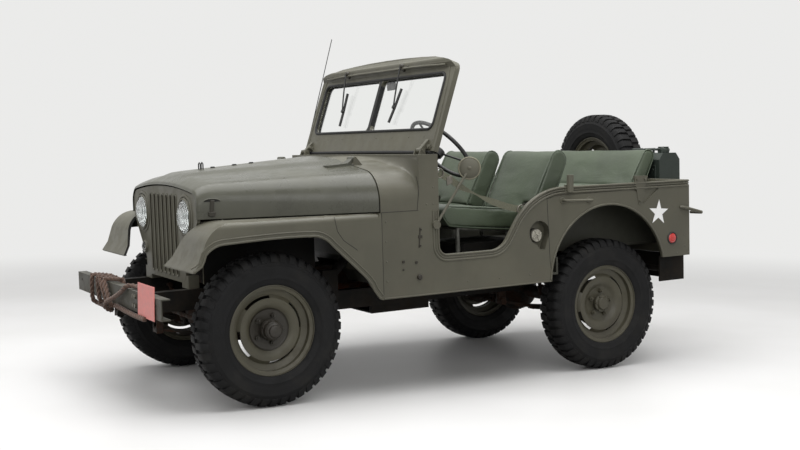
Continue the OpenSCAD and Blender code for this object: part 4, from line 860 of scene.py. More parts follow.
for s in (-1, 1):
    p = at_point(B(GX, s * LAMP_Y, LAMP_Z), (C2, 0, -S2))
    rims.append(lathe_mesh([(97, -1), (99, 4), (104, 6), (110, 5), (113, 1), (113, -2), (97, -2)], p, 56,
                           True))
    q = at_point(B(GX, s * 322, 768), (C2, 0, -S2))
    marks.append(lathe_mesh([(0.1, 22), (14, 20), (23, 15), (26, 9), (26, -2), (0.1, -2)], q, 32))
    mark_rings.append(lathe_mesh([(26, 10), (29, 13), (33, 10), (35, 2), (40, 1), (41, -2), (26, -2)], q,
                                 36, True))
joined("lamp_recess_rims", rims, "body", 50)
joined("marker_lenses", marks, "lens", 60)
joined("marker_rings", mark_rings, "body", 50)

# Rolled lips round the seven grille slots
lips = []
for i in range(-3, 4):
    y = i * 65.5
    ring = [B(GX + 0.5, y + a, b)
            for a, b in arc(0, 1062 - 16, 17, 0, 180, 10) + arc(0, 653 + 16, 17, 180, 360, 10)]
    lips.append(tube_mesh(ring, 0.0042, 8, True))
joined("grille_slot_lips", lips, "body", 80)
# Radiator core behind the slots
core = [box_mesh((1294, -235, 645), (1304, 235, 1055))]
joined("radiator_core", core, "gap_and_shade", 30)

# ---------------------------------------------------------------- beads and seams of the panels
ACROSS = Vector((0, 1, 0))


def bead(pts, r):
    """Half-round bead pressed out of a side panel."""
    return tube_mesh(spline(pts, 0.02), r, 8, False, 0.75, ACROSS)


def door_line(off):
    """Door opening's edge moved off millimetres into the panel, from the post down, back and up."""
    pts = [(127 + off, 940), (127 + off, 758)]
    pts += arc(127 - 45, 713 + 45, 45 + off, 0, -90, 6)[1:]
    pts += arc(-190, 713 + 120, 120 + off, -90, -145, 8)
    pts += list(reversed(arc(-675, 1025 - 400, 400 - off, 90, 35, 10)))
    return pts


parts, seams = [], []
for s in (-1, 1):
    y = s * (BODY_Y + 0.5)
    for off, r in ((6, 0.0058), (20, 0.0038), (34, 0.006)):
        parts.append(bead([B(a, y, b) for a, b in door_line(off)] + [B(-1596, y, 1025 - off)], r))
    sill = [(460, 516), (200, 514), (-100, 514), (-400, 514), (-585, 514)]
    parts.append(bead([B(a, y, b) for a, b in sill], 0.004))
    arch = [(-991 + 412 * math.cos(math.radians(a)), 500 + 412 * math.sin(math.radians(a)))
            for a in range(3, 169, 6)]
    parts.append(bead([B(a, y, b) for a, b in arch], 0.0065))
    # seams of the body side
    for line in ([(256, 950), (250, 1000), (243, 1060), (258, 1120)], [(250, 947), (462, 947)],
                 [(462, 947), (462, 530)], [(-560, 1000), (-575, 620), (-585, 560)]):
        seams.append(tube_mesh([B(a, s * (BODY_Y + 0.2), b) for a, b in line], 0.0013, 6))
    seams.append(tube_mesh([B(B_REAR - 3, s * (BODY_Y - 0.2), 953),
                            B(B_REAR - 3, s * (BODY_Y - 0.2), 1000)], 0.002, 6))
joined("body_side_beads", parts, "body", 80)
joined("body_side_seams", seams, "gap_and_shade", 80)

FY = 773
parts, seams = [], []
opening = ([(1446, 726), (1403, 752)] + arc(1290, 720, 124, 42, 84, 5) + [(1039, 854), (870, 853)]
           + arc(850, 720, 132, 84, 142, 6) + [(560, 622), (522, 560), (490, 518)])


def grown(line, off):
    """Polyline moved sideways by off millimetres."""
    out = []
    for i, (x, z) in enumerate(line):
        a, b = line[max(0, i - 1)], line[min(len(line) - 1, i + 1)]
        dx, dz = b[0] - a[0], b[1] - a[1]
        d = math.hypot(dx, dz)
        out.append((x + dz / d * off, z - dx / d * off))
    return out


for s in (-1, 1):
    y = s * (FY + 0.3)
    parts.append(bead([B(a, y, b) for a, b in grown(opening, 5) if a < 1330 or s > 0], 0.006))
    parts.append(bead([B(a, y, b) for a, b in grown(opening, 26) if a < 1330 or s > 0], 0.0042))
    seam = ((741, 916), (724, 846), (690, 800), (614, 750))
    seams.append(tube_mesh([L(a, s * (FY + 0.2), b) for a, b in seam], 0.0012, 6))
joined("fender_beads", parts, "body", 80)
joined("fender_seams", seams, "gap_and_shade", 80)

# ---------------------------------------------------------------- bolts, rivets and body fittings
parts = []
for s in (-1, 1):
    for x, z in [(-616, 1010), (-616, 990), (-700, 1010), (-1560, 1010), (-1560, 640), (-1560, 700),
                 (-1500, 600), (440, 600), (440, 700), (440, 800), (440, 900),
                 (160, 975), (160, 1060), (200, 975), (-40, 560), (-240, 560), (-440, 560)]:
        parts.append(rivet_mesh(B(x, s * BODY_Y, z), (0, s, 0), 5.5, 2.4))
    for x in (500, 620, 740, 860, 980, 1100, 1220):
        parts.append(rivet_mesh(B(x, s * 560 if x > 1100 else s * 700, 945.5), (0, 0, 1), 5.5, 2.4))
for y in (-420, -200, 0, 200, 420):
    for z in (640, 1000):
        parts.append(rivet_mesh(B(-1600, y, z), (-1, 0, 0), 6, 2.5))
for s in (-1, 1):
    for z in (700, 760, 870, 1040):
        parts.append(rivet_mesh(B(1328.5, s * mix(330, 500, smooth((z - 700) / 250)), z), (1, 0, 0), 5,
                                2.2))
joined("body_rivets", parts, "body", 40)

# Grab handles, bow sockets with their brackets, rear loop bars
parts = []
for s in (-1, 1):
    y = s * BODY_Y
    pa, pb = L(-652, y, 972), L(-835, y, 972)
    out = Vector((0, s * 0.034, 0))
    grip = [pa, pa + out * 0.8, pa + out - Vector((0.02, 0, 0)),
            pb + out + Vector((0.02, 0, 0)), pb + out * 0.8, pb]
    parts.append(tube_mesh(spline(grip, 0.008), 0.0075, 10))
    for p in (pa, pb):
        parts.append(lathe_mesh([(0.1, 4), (17, 3.4), (19, 0), (19, -1)], at_point(p, (0, s, 0)), 20))
    socket = at_point(L(-694, s * (BODY_Y + 12), 1017), (0, 0, 1))
    parts.append(lathe_mesh([(14, 0), (19, 0), (19, 95), (14, 95)], socket, 20, True))
    lug = [(-720, 1011), (-668, 1011), (-668, 1057), (-720, 1057)]
    parts.append(prism_mesh(lug, BODY_Y - 9, BODY_Y + 2, on_side(s)))
    # bracket in the V notch
    bracket = [(-1262, 1104), (-1160, 1104), (-1198, 938), (-1218, 938)]
    parts.append(prism_mesh(bracket, BODY_Y - 8, BODY_Y + 3, on_side(s)))
    for a, b in ((-1240, 1085), (-1182, 1085), (-1208, 960)):
        parts.append(bolt_mesh(L(a, s * (BODY_Y + 3), b), (0, s, 0), 8, 6))
    # loop bar at the tail
    bar_y = s * (BODY_Y + 14)
    loop = [L(-1516, s * BODY_Y, 920), L(-1530, bar_y, 919), L(-1650, bar_y, 893), L(-1672, bar_y, 886),
            L(-1672, s * 690, 884)]
    parts.append(tube_mesh(spline(loop, 0.01), 0.009, 10))
joined("side_fittings", parts, "body", 40, 0.0008, 1)

# Dark strap end, hook and bolts on the cowl side, left
marks = [prism_mesh([(250, 850), (257, 850), (261, 748), (254, 748)], BODY_Y - 8, BODY_Y + 2.5, on_side(1)),
         prism_mesh([(240, 812), (264, 812), (264, 796), (240, 796)], BODY_Y - 8, BODY_Y + 4, on_side(1))]
parts = []
for x, z, r in ((250, 840, 6), (252, 758, 6), (350, 680, 8), (274, 674, 8), (350, 640, 5)):
    parts.append(bolt_mesh(L(x, BODY_Y + 1, z), (0, 1, 0), r, 5))
parts.append(lathe_mesh([(0.1, 14), (11, 13), (14, 9), (14, -2)], at_point(L(256, BODY_Y, 599), (0, 1, 0)),
                        20))
parts.append(prism_mesh([(238, 606), (262, 606), (262, 592), (238, 592)], BODY_Y - 6, BODY_Y + 4,
                        on_side(1)))
joined("cowl_side_marks", marks, "hub", 40, 0.0008, 1)
joined("cowl_side_bolts", parts, "hub", 40, 0.0008, 1)

# Fuel filler cap in its recess, on the left side
p = at_point(B(-495, BODY_Y - 24, 768), (0, 1, 0))
cap = [lathe_mesh([(0.1, 18), (26, 18), (32, 16), (35, 11), (35, 2), (30, 0), (30, -24)], p, 36)]
for i in range(2):
    cap.append(prism_mesh([(-30, -4), (30, -4), (30, 4), (-30, 4)], 15, 23, spun(p, i * math.pi / 2 + 0.5)))
joined("filler_shadow", [lathe_mesh([(0.1, -19), (37, -19), (37, -22)], p, 36)], "under", 50)
joined("filler_cap", cap, "cap", 40, 0.001, 1)

# White star and red reflector on both rear quarters
star, reflectors, reflector_rings = [], [], []
for s in (-1, 1):
    pts = []
    for i in range(10):
        r = 75 if i % 2 == 0 else 75 * 0.39
        a = math.radians(90 + 36 * i + 2)
        pts.append((-1350 + r * math.cos(a), 891 + r * math.sin(a)))
    star.append(prism_mesh(pts, BODY_Y - 8.5, BODY_Y + 0.9, on_side(s)))
    q = at_point(L(-1457, s * (BODY_Y), 740), (0, s, 0))
    reflectors.append(lathe_mesh([(0.1, 9), (14, 8.4), (24, 6.4), (29, 3), (29, 0)], q, 40))
    reflector_rings.append(lathe_mesh([(28, 2), (30, 6), (34, 6), (36.5, 2), (36.5, -1), (28, -1)], q, 40,
                                      True))
joined("side_stars", star, "white", 30)
joined("side_reflectors", reflectors, "redlens", 60)
joined("side_reflector_rings", reflector_rings, "black", 50)

# Tail lamps on the rear panel
bodies, glasses = [], []
for s in (-1, 1):
    q = at_point(L(-1612, s * 640, 968), (-1, 0, 0))
    bodies.append(lathe_mesh([(0.1, -18), (30, -16), (36, -8), (37, 10), (34, 12), (31, 8), (31, -4)], q,
                             32))
    glasses.append(lathe_mesh([(0.1, 13), (16, 12), (28, 9), (31, 6), (31, -3)], q, 32))
joined("tail_lamp_bodies", bodies, "body", 50)
joined("tail_lamp_lenses", glasses, "redlens", 50)

# ---------------------------------------------------------------- number plate, bumper bolts, tow rope
plate = [box_mesh((1600, 409, 451), (1604, 660, 610), L)]
joined("number_plate", plate, "red", 30, 0.0015)
parts = []
for s in (-1, 1):
    for y in (320, 352):
        for z in (545, 590):
            parts.append(bolt_mesh(B(1597, s * y, z), (1, 0, 0), 12, 8))
joined("bumper_bolts", parts, "body", 30, 0.001)

BUMPER_FACE, BUMPER_TOP, BUMPER_H, BUMPER_D = 1597, 616, 100, 45
ROPE_OFF = 15
face, rear = BUMPER_FACE + ROPE_OFF, BUMPER_FACE - BUMPER_D - ROPE_OFF
crest, foot = BUMPER_TOP + ROPE_OFF, BUMPER_TOP - BUMPER_H - ROPE_OFF
corner = 12


def over(y0, y1):
    return [(rear, y0, crest - corner), (rear + corner, y0, crest), (face - corner, y1, crest),
            (face, y1, crest - corner)]


def under(y0, y1):
    return [(face, y0, foot + corner), (face - corner, y0, foot), (rear + corner, y1, foot),
            (rear, y1, foot + corner)]


route = ([(face, 534, 503), (face, 375, 503), (face, 207, 508), (face, 90, 514)]
         + under(50, 20) + over(-60, -140) + under(-45, -66) + over(-175, -222) + under(-105, -132)
         + over(-245, -272) + under(-250, -262) + over(-288, -386)
         + [(face, -396, foot + corner), (face - 10, -398, foot - 14), (face - 30, -370, foot - 27),
            (face - 30, -150, foot - 29), (face - 8, -82, foot - 26),
            (face + 22, -60, foot - 6), (face + 26, -30, foot + 24), (face + 14, 80, crest - 70),
            (face + 5, 190, crest - 30), (face + 1, 224, crest - 10),
            (face - 12, 250, crest + 2), (face - 40, 300, crest), (face - 42, 445, crest)])
path = spline([B(*p) for p in route], 0.006)
across = frames_along(path)
LAY = 0.085
strands = []
for k in range(3):
    pts = []
    along = 0.0
    for i, p in enumerate(path):
        if i:
            along += (p - path[i - 1]).length
        a = (along / LAY + k / 3) * 2 * math.pi
        pts.append(p + (across[i][0] * math.cos(a) + across[i][1] * math.sin(a)) * 0.0062)
    strands.append(tube_mesh(pts, 0.0066, 7))
rope = joined("tow_rope_strands", strands, "rope", 80)
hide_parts("tow_rope")

# ---------------------------------------------------------------- windscreen fittings
ws = "windscreen"
FORWARDS = S(15, 0, 0) - S(14, 0, 0)
GY, GZ0, GZ1 = 696, 118, 424


def glass_outline(g):
    """Rounded outline round both panes, g millimetres outside their openings."""
    y1, z0, z1, r = GY + g, GZ0 - g, GZ1 + g, 42 + g
    return (arc(y1 - r, z0 + r, r, -90, 0, 8) + arc(y1 - r, z1 - r, r, 0, 90, 8)
            + arc(r - y1, z1 - r, r, 90, 180, 8) + arc(r - y1, z0 + r, r, 180, 270, 8))


parts = [tube_mesh([S(x, a, b) for a, b in glass_outline(1)], 0.0078, 8, True) for x in (14, -14)]
parts.append(box_mesh((-15.5, -13.6, GZ0 - 2), (15.5, 13.6, GZ1 + 2), S))
joined("windscreen_seals", parts, "seal", 50, 0.002, body=ws)

parts = []
# header roll, side beads, bolts
parts.append(tube_mesh(spline([S(30, -690, 462), S(38, -400, 466), S(38, 0, 466), S(38, 400, 466),
                               S(30, 690, 462)], 0.03), 0.006, 8))
for s in (-1, 1):
    parts.append(tube_mesh(spline([S(14, s * 745, 20), S(14, s * 742, 200), S(14, s * 727, 400),
                                   S(14, s * 706, 470)], 0.03), 0.0045, 8))
    for z in (60, 150, 240, 330, 420):
        parts.append(rivet_mesh(S(14, s * 731 if z < 300 else s * 722, z), FORWARDS, 5, 2.5))
    for y in (120, 300, 480, 640):
        parts.append(rivet_mesh(S(14, s * y, 78), FORWARDS, 5, 2.5))
        parts.append(rivet_mesh(S(-14, s * y, 78), -FORWARDS, 5, 2.5))
    # clamps over the hinges
    parts.append(prism_mesh([(652, 8), (738, 8), (738, 34), (652, 28)], 13.5, 22,
                            lambda a, b, c, s=s: S(c, s * a, b)))
    parts.append(lathe_mesh([(0.1, 26), (7, 25), (9, 20), (9, 0)], at_point(S(18, s * 668, 20), FORWARDS),
                            16))
    for y in (664, 726):
        parts.append(bolt_mesh(S(21.5, s * y, 20), FORWARDS, 9, 7))
joined("windscreen_trim", parts, "body", 45, 0.0008, 1, body=ws)

# Wipers hanging from two motors on the header
motors, arms, blades = [], [], []
for (my, mz), (b0, b1) in (((250, 484), ((271, 357), (226, 163))),
                           ((-407, 484), ((-377, 360), (-367, 158)))):
    q = at_point(S(34, my, mz - 6), FORWARDS)
    motors.append(lathe_mesh([(0.1, 22), (10, 21), (13, 17), (14, 0), (24, -4), (24, -14)], q, 24))
    motors.append(box_mesh((-52, my - 45, mz - 40), (-12, my + 45, mz + 2), S))
    cy, cz = mix(b0[0], b1[0], 0.55), mix(b0[1], b1[1], 0.55)
    arm = [S(52, my, mz - 8), S(50, mix(my, cy, 0.15), mix(mz, cz, 0.15)),
           S(36, mix(my, cy, 0.7), mix(mz, cz, 0.7)), S(26, cy, cz)]
    arms.append(tube_mesh(spline(arm, 0.02), 0.0046, 8))
    arms.append(lathe_mesh([(0.1, 8), (11, 7), (12, -6)], at_point(S(24, cy, cz), FORWARDS), 12))
    blades.append(tube_mesh([S(19, *b0), S(17, cy, cz), S(19, *b1)], 0.0085, 6))
    motors.append(tube_mesh([S(34, my - 60, mz - 14), S(34, my + 62, mz - 10)], 0.008, 8))
joined("wiper_motors", motors, "hub", 40, 0.002, body=ws)
joined("wiper_arms", arms, "black", 60, body=ws)
joined("wiper_blades", blades, "black", 60, body=ws)

# Inner mirror on its stem behind the header
mid = L(-2, 18, 1612)
q = at_point(mid, (-1, 0.15, 0.05))
stem = [mid + Vector((0.004, 0, 0.01)), mid + Vector((0.03, -0.01, 0.06)), S(-14, 10, 470)]
parts = [prism_mesh([(-58, -24), (58, -24), (62, 0), (58, 24), (-58, 24), (-62, 0)], -6, 4, q),
         tube_mesh(stem, 0.005, 8)]
joined("inner_mirror", parts, "black", 40, 0.002, body=ws)
# Thin cable from the header down the near post
cable = [S(-16, 560, 480), S(-18, 640, 470), S(-18, 700, 440), S(-18, 712, 300), S(-18, 718, 100),
         S(-16, 700, 20)]
joined("washer_cable", [tube_mesh(spline(cable, 0.02), 0.003, 6)], "black", 80, body=ws)
# Rubber strip under the windscreen's base
strip = [B(150, -740, 1236), B(152, -300, 1238), B(152, 300, 1238), B(150, 740, 1236)]
joined("windscreen_base_seal", [tube_mesh(strip, 0.010, 8)], "seal", 80)

# ---------------------------------------------------------------- cockpit
# Instrument cluster and knobs on the dash, its face towards the seats
parts, dials, knobs = [], [], []
dash_n = (-1, 0, 0.04)
q = at_point(B(126, 0, 1130), dash_n)
dials.append(lathe_mesh([(0.1, 3), (50, 3), (50, -2)], q, 40))
parts.append(lathe_mesh([(49, 3), (52, 7), (56, 6), (58, 0), (49, -1)], q, 40, True))
for y, z in ((-86, 1160), (-86, 1100), (86, 1160), (86, 1100)):
    small = at_point(B(126, y, z), dash_n)
    dials.append(lathe_mesh([(0.1, 3), (23, 3), (23, -2)], small, 28))
    parts.append(lathe_mesh([(23, 2), (25, 6), (28, 5), (29, 0), (23, -1)], small, 28, True))
for y in (-220, -170, 160, 210, 260, 480, 540):
    knobs.append(lathe_mesh([(0.1, 26), (9, 25), (11, 20), (10, 14), (5, 12), (5, -1)],
                            at_point(B(126, y, 1090), dash_n), 16))
joined("dash_dials", dials, "dial", 40)
joined("dash_bezels", parts, "black", 40)
joined("dash_knobs", knobs, "black", 50)
# every needle points its own way
needles = []
for (y, z, r) in ((0, 1130, 40), (-86, 1160, 18), (-86, 1100, 18), (86, 1160, 18), (86, 1100, 18)):
    q = at_point(B(122.4, y, z), dash_n)
    needles.append(prism_mesh([(-2, -4), (2, -4), (1, r), (-1, r)], 0, 0.8, spun(q, y)))
joined("dash_needles", needles, "red", 40)

# Gear lever and two transfer levers; pedals
parts, tips = [], []
for (x, y, h, dx, dy) in ((170, 0, 330, -150, 30), (110, -60, 230, -60, -20), (110, -100, 200, -50, -30)):
    pts = [B(x, y, 664), B(x + dx * 0.3, y + dy * 0.3, 664 + h * 0.5), B(x + dx, y + dy, 664 + h)]
    parts.append(tube_mesh(spline(pts, 0.02), 0.007, 8))
    tips.append(lathe_mesh([(0.1, 22), (12, 18), (17, 6), (14, -8), (7, -14)],
                           at_point(pts[-1], (pts[-1] - pts[-2])), 20))
    parts.append(lathe_mesh([(8, 34), (16, 24), (26, 8), (34, 0)], at_point(B(x, y, 664), (0, 0, 1)), 24))
for y in (300, 400, 470):
    parts.append(box_mesh((300, y - 28, 660), (306, y + 28, 722)))
    parts.append(tube_mesh([B(306, y, 690), B(372, y, 655)], 0.008, 8))
joined("levers_and_pedals", parts, "black", 50)
joined("lever_knobs", tips, "black", 60)

# Steering wheel's centre button
COLUMN_TILT = 42.4


def column(x, y, z):
    """Local z down the steering column from the wheel's centre."""
    a = math.radians(90 + COLUMN_TILT)
    return B(-129 + x * math.cos(a) + z * math.sin(a), 390 + y, 1245 - x * math.sin(a) + z * math.cos(a))


button = lathe_mesh([(0.1, -2), (14, -1), (20, 3), (30, 6), (33, 10), (33, 14)], column, 32)
joined("steering_button", [button], "black", 50, body="steering_wheel_body")

# ---------------------------------------------------------------- side mirror, antenna, strap, can
WIRE_LENGTH, WIRE_LEAN = 862, math.radians(16.2)
foot = B(175, -779, 1120)
tip = B(175 - WIRE_LENGTH * math.sin(WIRE_LEAN), -779, 1120 + WIRE_LENGTH * math.cos(WIRE_LEAN))
insulator = [(0.1, 70), (12, 66), (16, 50), (12, 40), (17, 26), (13, 16), (20, 0), (20, -6)]
parts = [tube_mesh([foot, (foot + tip) / 2, tip], lambda t: mix(0.0042, 0.0018, t), 8),
         lathe_mesh(insulator, at_point(foot, B(147, -779, 1216) - foot), 24)]
joined("antenna_wire", parts, "black", 60)

strap = [(127, 1125), (60, 1093), (-9, 1052), (-90, 1018), (-165, 987), (-280, 950), (-389, 927)]
pts = spline([L(a, 740, b) for a, b in strap], 0.02)
verts = []
for i, p in enumerate(pts):
    t = (pts[min(i + 1, len(pts) - 1)] - pts[max(i - 1, 0)]).normalized()
    up = Vector((0, 1, 0)).cross(t).normalized()
    # a twist turns the strap almost edge-on for a stretch
    half = 0.018 * (1 - 0.78 * math.exp(-((i / (len(pts) - 1) - 0.45) / 0.13) ** 2))
    for e, o in ((-1, -1), (1, -1), (1, 1), (-1, 1)):
        verts.append(p + up * half * e + Vector((0, 0.0013 * o, 0)))
faces = []
for i in range(len(pts) - 1):
    for k in range(4):
        a, b = i * 4 + k, i * 4 + (k + 1) % 4
        faces.append((a, b, b + 4, a + 4))
faces += [(0, 1, 2, 3), tuple((len(pts) - 1) * 4 + k for k in (3, 2, 1, 0))]
strap_piece = build("door_strap_webbing", verts, faces, "webbing", "chassis", 60)
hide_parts("door_strap")
parts = []
for (a, b) in ((127, 1125), (-389, 927)):
    c = L(a, 744, b)
    parts.append(tube_mesh([c + Vector((0.024 * math.cos(t), 0.002, 0.024 * math.sin(t)))
                            for t in [i * math.pi / 8 for i in range(16)]], 0.0035, 8, True))
    parts.append(bolt_mesh(L(a + (14 if a > 0 else -14), 748, b + 8), (0, 1, 0), 8, 6))
c = L(62, 741, 1094)
parts.append(prism_mesh([(-16, -20), (16, -34), (20, 8), (-12, 22)], -4, 4,
                        lambda a, b, cc: c + Vector((a, cc, b)) / 1000))
joined("door_strap_buckles", parts, "dull", 40, 0.001, 1)

refine("antenna", "antenna_base_skin", "black", "chassis", 0.002)
refine("jerry_can", "jerry_can_skin", "can", "chassis", 0.012, 28, 4)
parts = []
for s in (-1, 1):
    x = -1712.5 + s * 83.6
    for a, b in (((190, 780), (435, 1080)), ((190, 1080), (435, 780))):
        parts.append(tube_mesh([B(x, a[0], a[1]), B(x, b[0], b[1])], 0.009, 8, False, 0.45,
                               Vector((1, 0, 0))))
    parts.append(tube_mesh([B(x, 175, 765), B(x, 450, 765), B(x, 450, 1100), B(x, 175, 1100)], 0.006, 8,
                           True, 0.5, Vector((1, 0, 0))))
parts.append(lathe_mesh([(0.1, 36), (24, 35), (28, 28), (28, -4)],
                        at_point(B(-1712, 440, 1176), (0, 0.35, 1)), 28))
parts.append(box_mesh((-1722, 395, 1176), (-1702, 470, 1216)))
joined("jerry_can_ribs", parts, "can", 50, 0.001, 1)
hold = [B(-1600, 130, 1000), B(-1700, 128, 1004), B(-1801, 134, 1000), B(-1806, 312, 1000),
        B(-1801, 490, 1000), B(-1700, 497, 1004), B(-1600, 495, 1000)]
parts = [tube_mesh(spline(hold, 0.03), 0.012, 8, False, 0.25, Vector((0, 0, 1)))]
joined("can_strap", parts, "webbing", 60)

# Spare wheel nuts, seen from behind
parts = []
for i in range(5):
    p = around(spare_place, NUT_CIRCLE_R, 72 * i + math.degrees(SPARE_SPIN))
    parts.append(prism_mesh(hexagon(13), 5, 24, p))
joined("spare_nuts", parts, "dull", 30, 0.001)
joined("spare_hub", [lathe_mesh([(0.1, 20), (30, 19), (43, 12), (44, 2)], spare_place, 40)], "wheel", 50)

# ---------------------------------------------------------------- bonnet fittings
def on_bonnet_side(s):
    """Body x, z and millimetres out from the bonnet's side wall."""
    return lambda a, b, c: B(a, s * (mix(522, BODY_Y, along_bonnet(a)) + c), b)


# hold-down in its pressed recess on both sides of the bonnet; a dark sheet in each recess is painted shade
parts, dark, recess_lips = [], [], []
for s in (-1, 1):
    wall = on_bonnet_side(s)
    recess = [(a, 1036 + (b - 1036) * 0.32) for a, b in arc(1262, 1036, 37, 0, 180, 12)]
    # dark sheet standing in the recess: painted shade
    dark.append(prism_mesh(recess, -6, 1.2, wall))
    lip = [wall(a, 1036 + (b - 1036) * 14 / 39, 0.5) for a, b in arc(1262, 1036, 39, 0, 180, 14)]
    recess_lips.append(tube_mesh(lip, 0.0026, 8))
    parts.append(prism_mesh([(1252, 1044), (1270, 1044), (1276, 978), (1260, 978)], 1, 10, wall))
    parts.append(prism_mesh([(1248, 986), (1284, 986), (1280, 966), (1254, 966)], 0, 14, wall))
joined("bonnet_latches", parts, "hub", 40, 0.002, body="bonnet_lid")
joined("latch_recess_painted_shade", dark, "gap_and_shade", 40, body="bonnet_lid")
joined("latch_recess_lips", recess_lips, "bonnet", 60, body="bonnet_lid")
# wire loop and clips along the middle of the bonnet, for the folded windscreen
parts = []
LOOP_H = 36
for x in (1108, 1122):
    z = bonnet_z(x, 0)[3] + 11
    parts.append(tube_mesh(spline([B(x, -14, z), B(x, -13, z + LOOP_H * 0.8), B(x, 0, z + LOOP_H),
                                   B(x, 13, z + LOOP_H * 0.8), B(x, 14, z)], 0.008), 0.0035, 8))
for x in (1050, 928, 832):
    z = bonnet_z(x, 0)[3] + 11
    parts.append(prism_mesh([(x - 14, z), (x + 14, z), (x + 8, z + 8), (x - 8, z + 8)], -7, 7,
                            on_side(1, B)))
joined("bonnet_clips", parts, "black", 50, body="bonnet_lid")

# ---------------------------------------------------------------- cowl fairing
# A hollow sweep closes the cowl between its arched top and the deck under the windscreen
DECK_Z, POST_X = 1228, 243


def arch_z(y):
    """Height of the cowl's arched top at y."""
    flat, r = 605, 160
    if abs(y) <= flat:
        return 1217 - 57 * (y / flat) ** 2
    return 1000 + math.sqrt(max(0, r * r - (abs(y) - flat) ** 2))


rows = [BODY_Y * math.sin(math.radians(a)) for a in range(-90, 91, 5)]
verts, steps = [], 8
for y in rows:
    low, y_ = arch_z(y) - 2, y * 0.9985
    b_ = min(60, 12 + 0.5 * (DECK_Z - low)) * (1 - 0.85 * smooth((abs(y) - 560) / 190))
    for k in range(steps + 1):
        t = math.radians(90 * k / steps)
        verts.append(B(POST_X - 3 + b_ * (1 - math.cos(t)), y_, low + (DECK_Z - low) * (1 - math.sin(t))))
faces = grid_faces(len(rows), steps + 1)
build("cowl_fairing", verts, faces, "body", "chassis", 60, thick=0.003)

# Rolled rim and boss on the back of the side mirror
mc = B(-60, 772, 1148)
out = Vector((math.sin(math.radians(30)), math.cos(math.radians(30)), 0))
q = at_point(mc, out)
joined("mirror_back", [lathe_mesh([(0.1, 18), (20, 17), (38, 14), (50, 9), (54, 5), (54, 3)], q, 40),
                       lathe_mesh([(0.1, 21), (9, 20), (12, 16), (12, 10)], q, 20)], "body", 60)
joined("mirror_rim", [lathe_mesh([(53, -8), (57, -9), (60, -4), (60, 5), (57, 9), (53, 8)], q, 48, True)],
       "rim", 60)
joined("mirror_glass", [lathe_mesh([(0.1, -9.5), (53, -9), (53, -7)], q, 40)], "mirror", 60)


# ---------------------------------------------------------------- seats
def soft_solids(node):
    """The separate solids of a CAD node as bmesh-ready lists, lowest first."""
    src = frame["nodes"][node].data
    bm = bmesh.new()
    bm.from_mesh(src)
    bmesh.ops.remove_doubles(bm, verts=bm.verts, dist=3e-5)
    bm.verts.ensure_lookup_table()
    seen, out = set(), []
    for v in bm.verts:
        if v.index in seen:
            continue
        stack, group = [v], []
        seen.add(v.index)
        while stack:
            a = stack.pop()
            group.append(a)
            for e in a.link_edges:
                b = e.other_vert(a)
                if b.index not in seen:
                    seen.add(b.index)
                    stack.append(b)
        ids = {g.index: i for i, g in enumerate(group)}
        faces = {f for g in group for f in g.link_faces}
        out.append(([g.co.copy() for g in group], [[ids[v_.index] for v_ in f.verts] for f in faces]))
    bm.free()
    return sorted(out, key=lambda s: sum(p.z for p in s[0]) / len(s[0]))


def segment_distance(p, a, b):
    ab = b - a
    t = max(0, min(1, (p - a).dot(ab) / max(1e-12, ab.length_squared)))
    return (p - (a + ab * t)).length


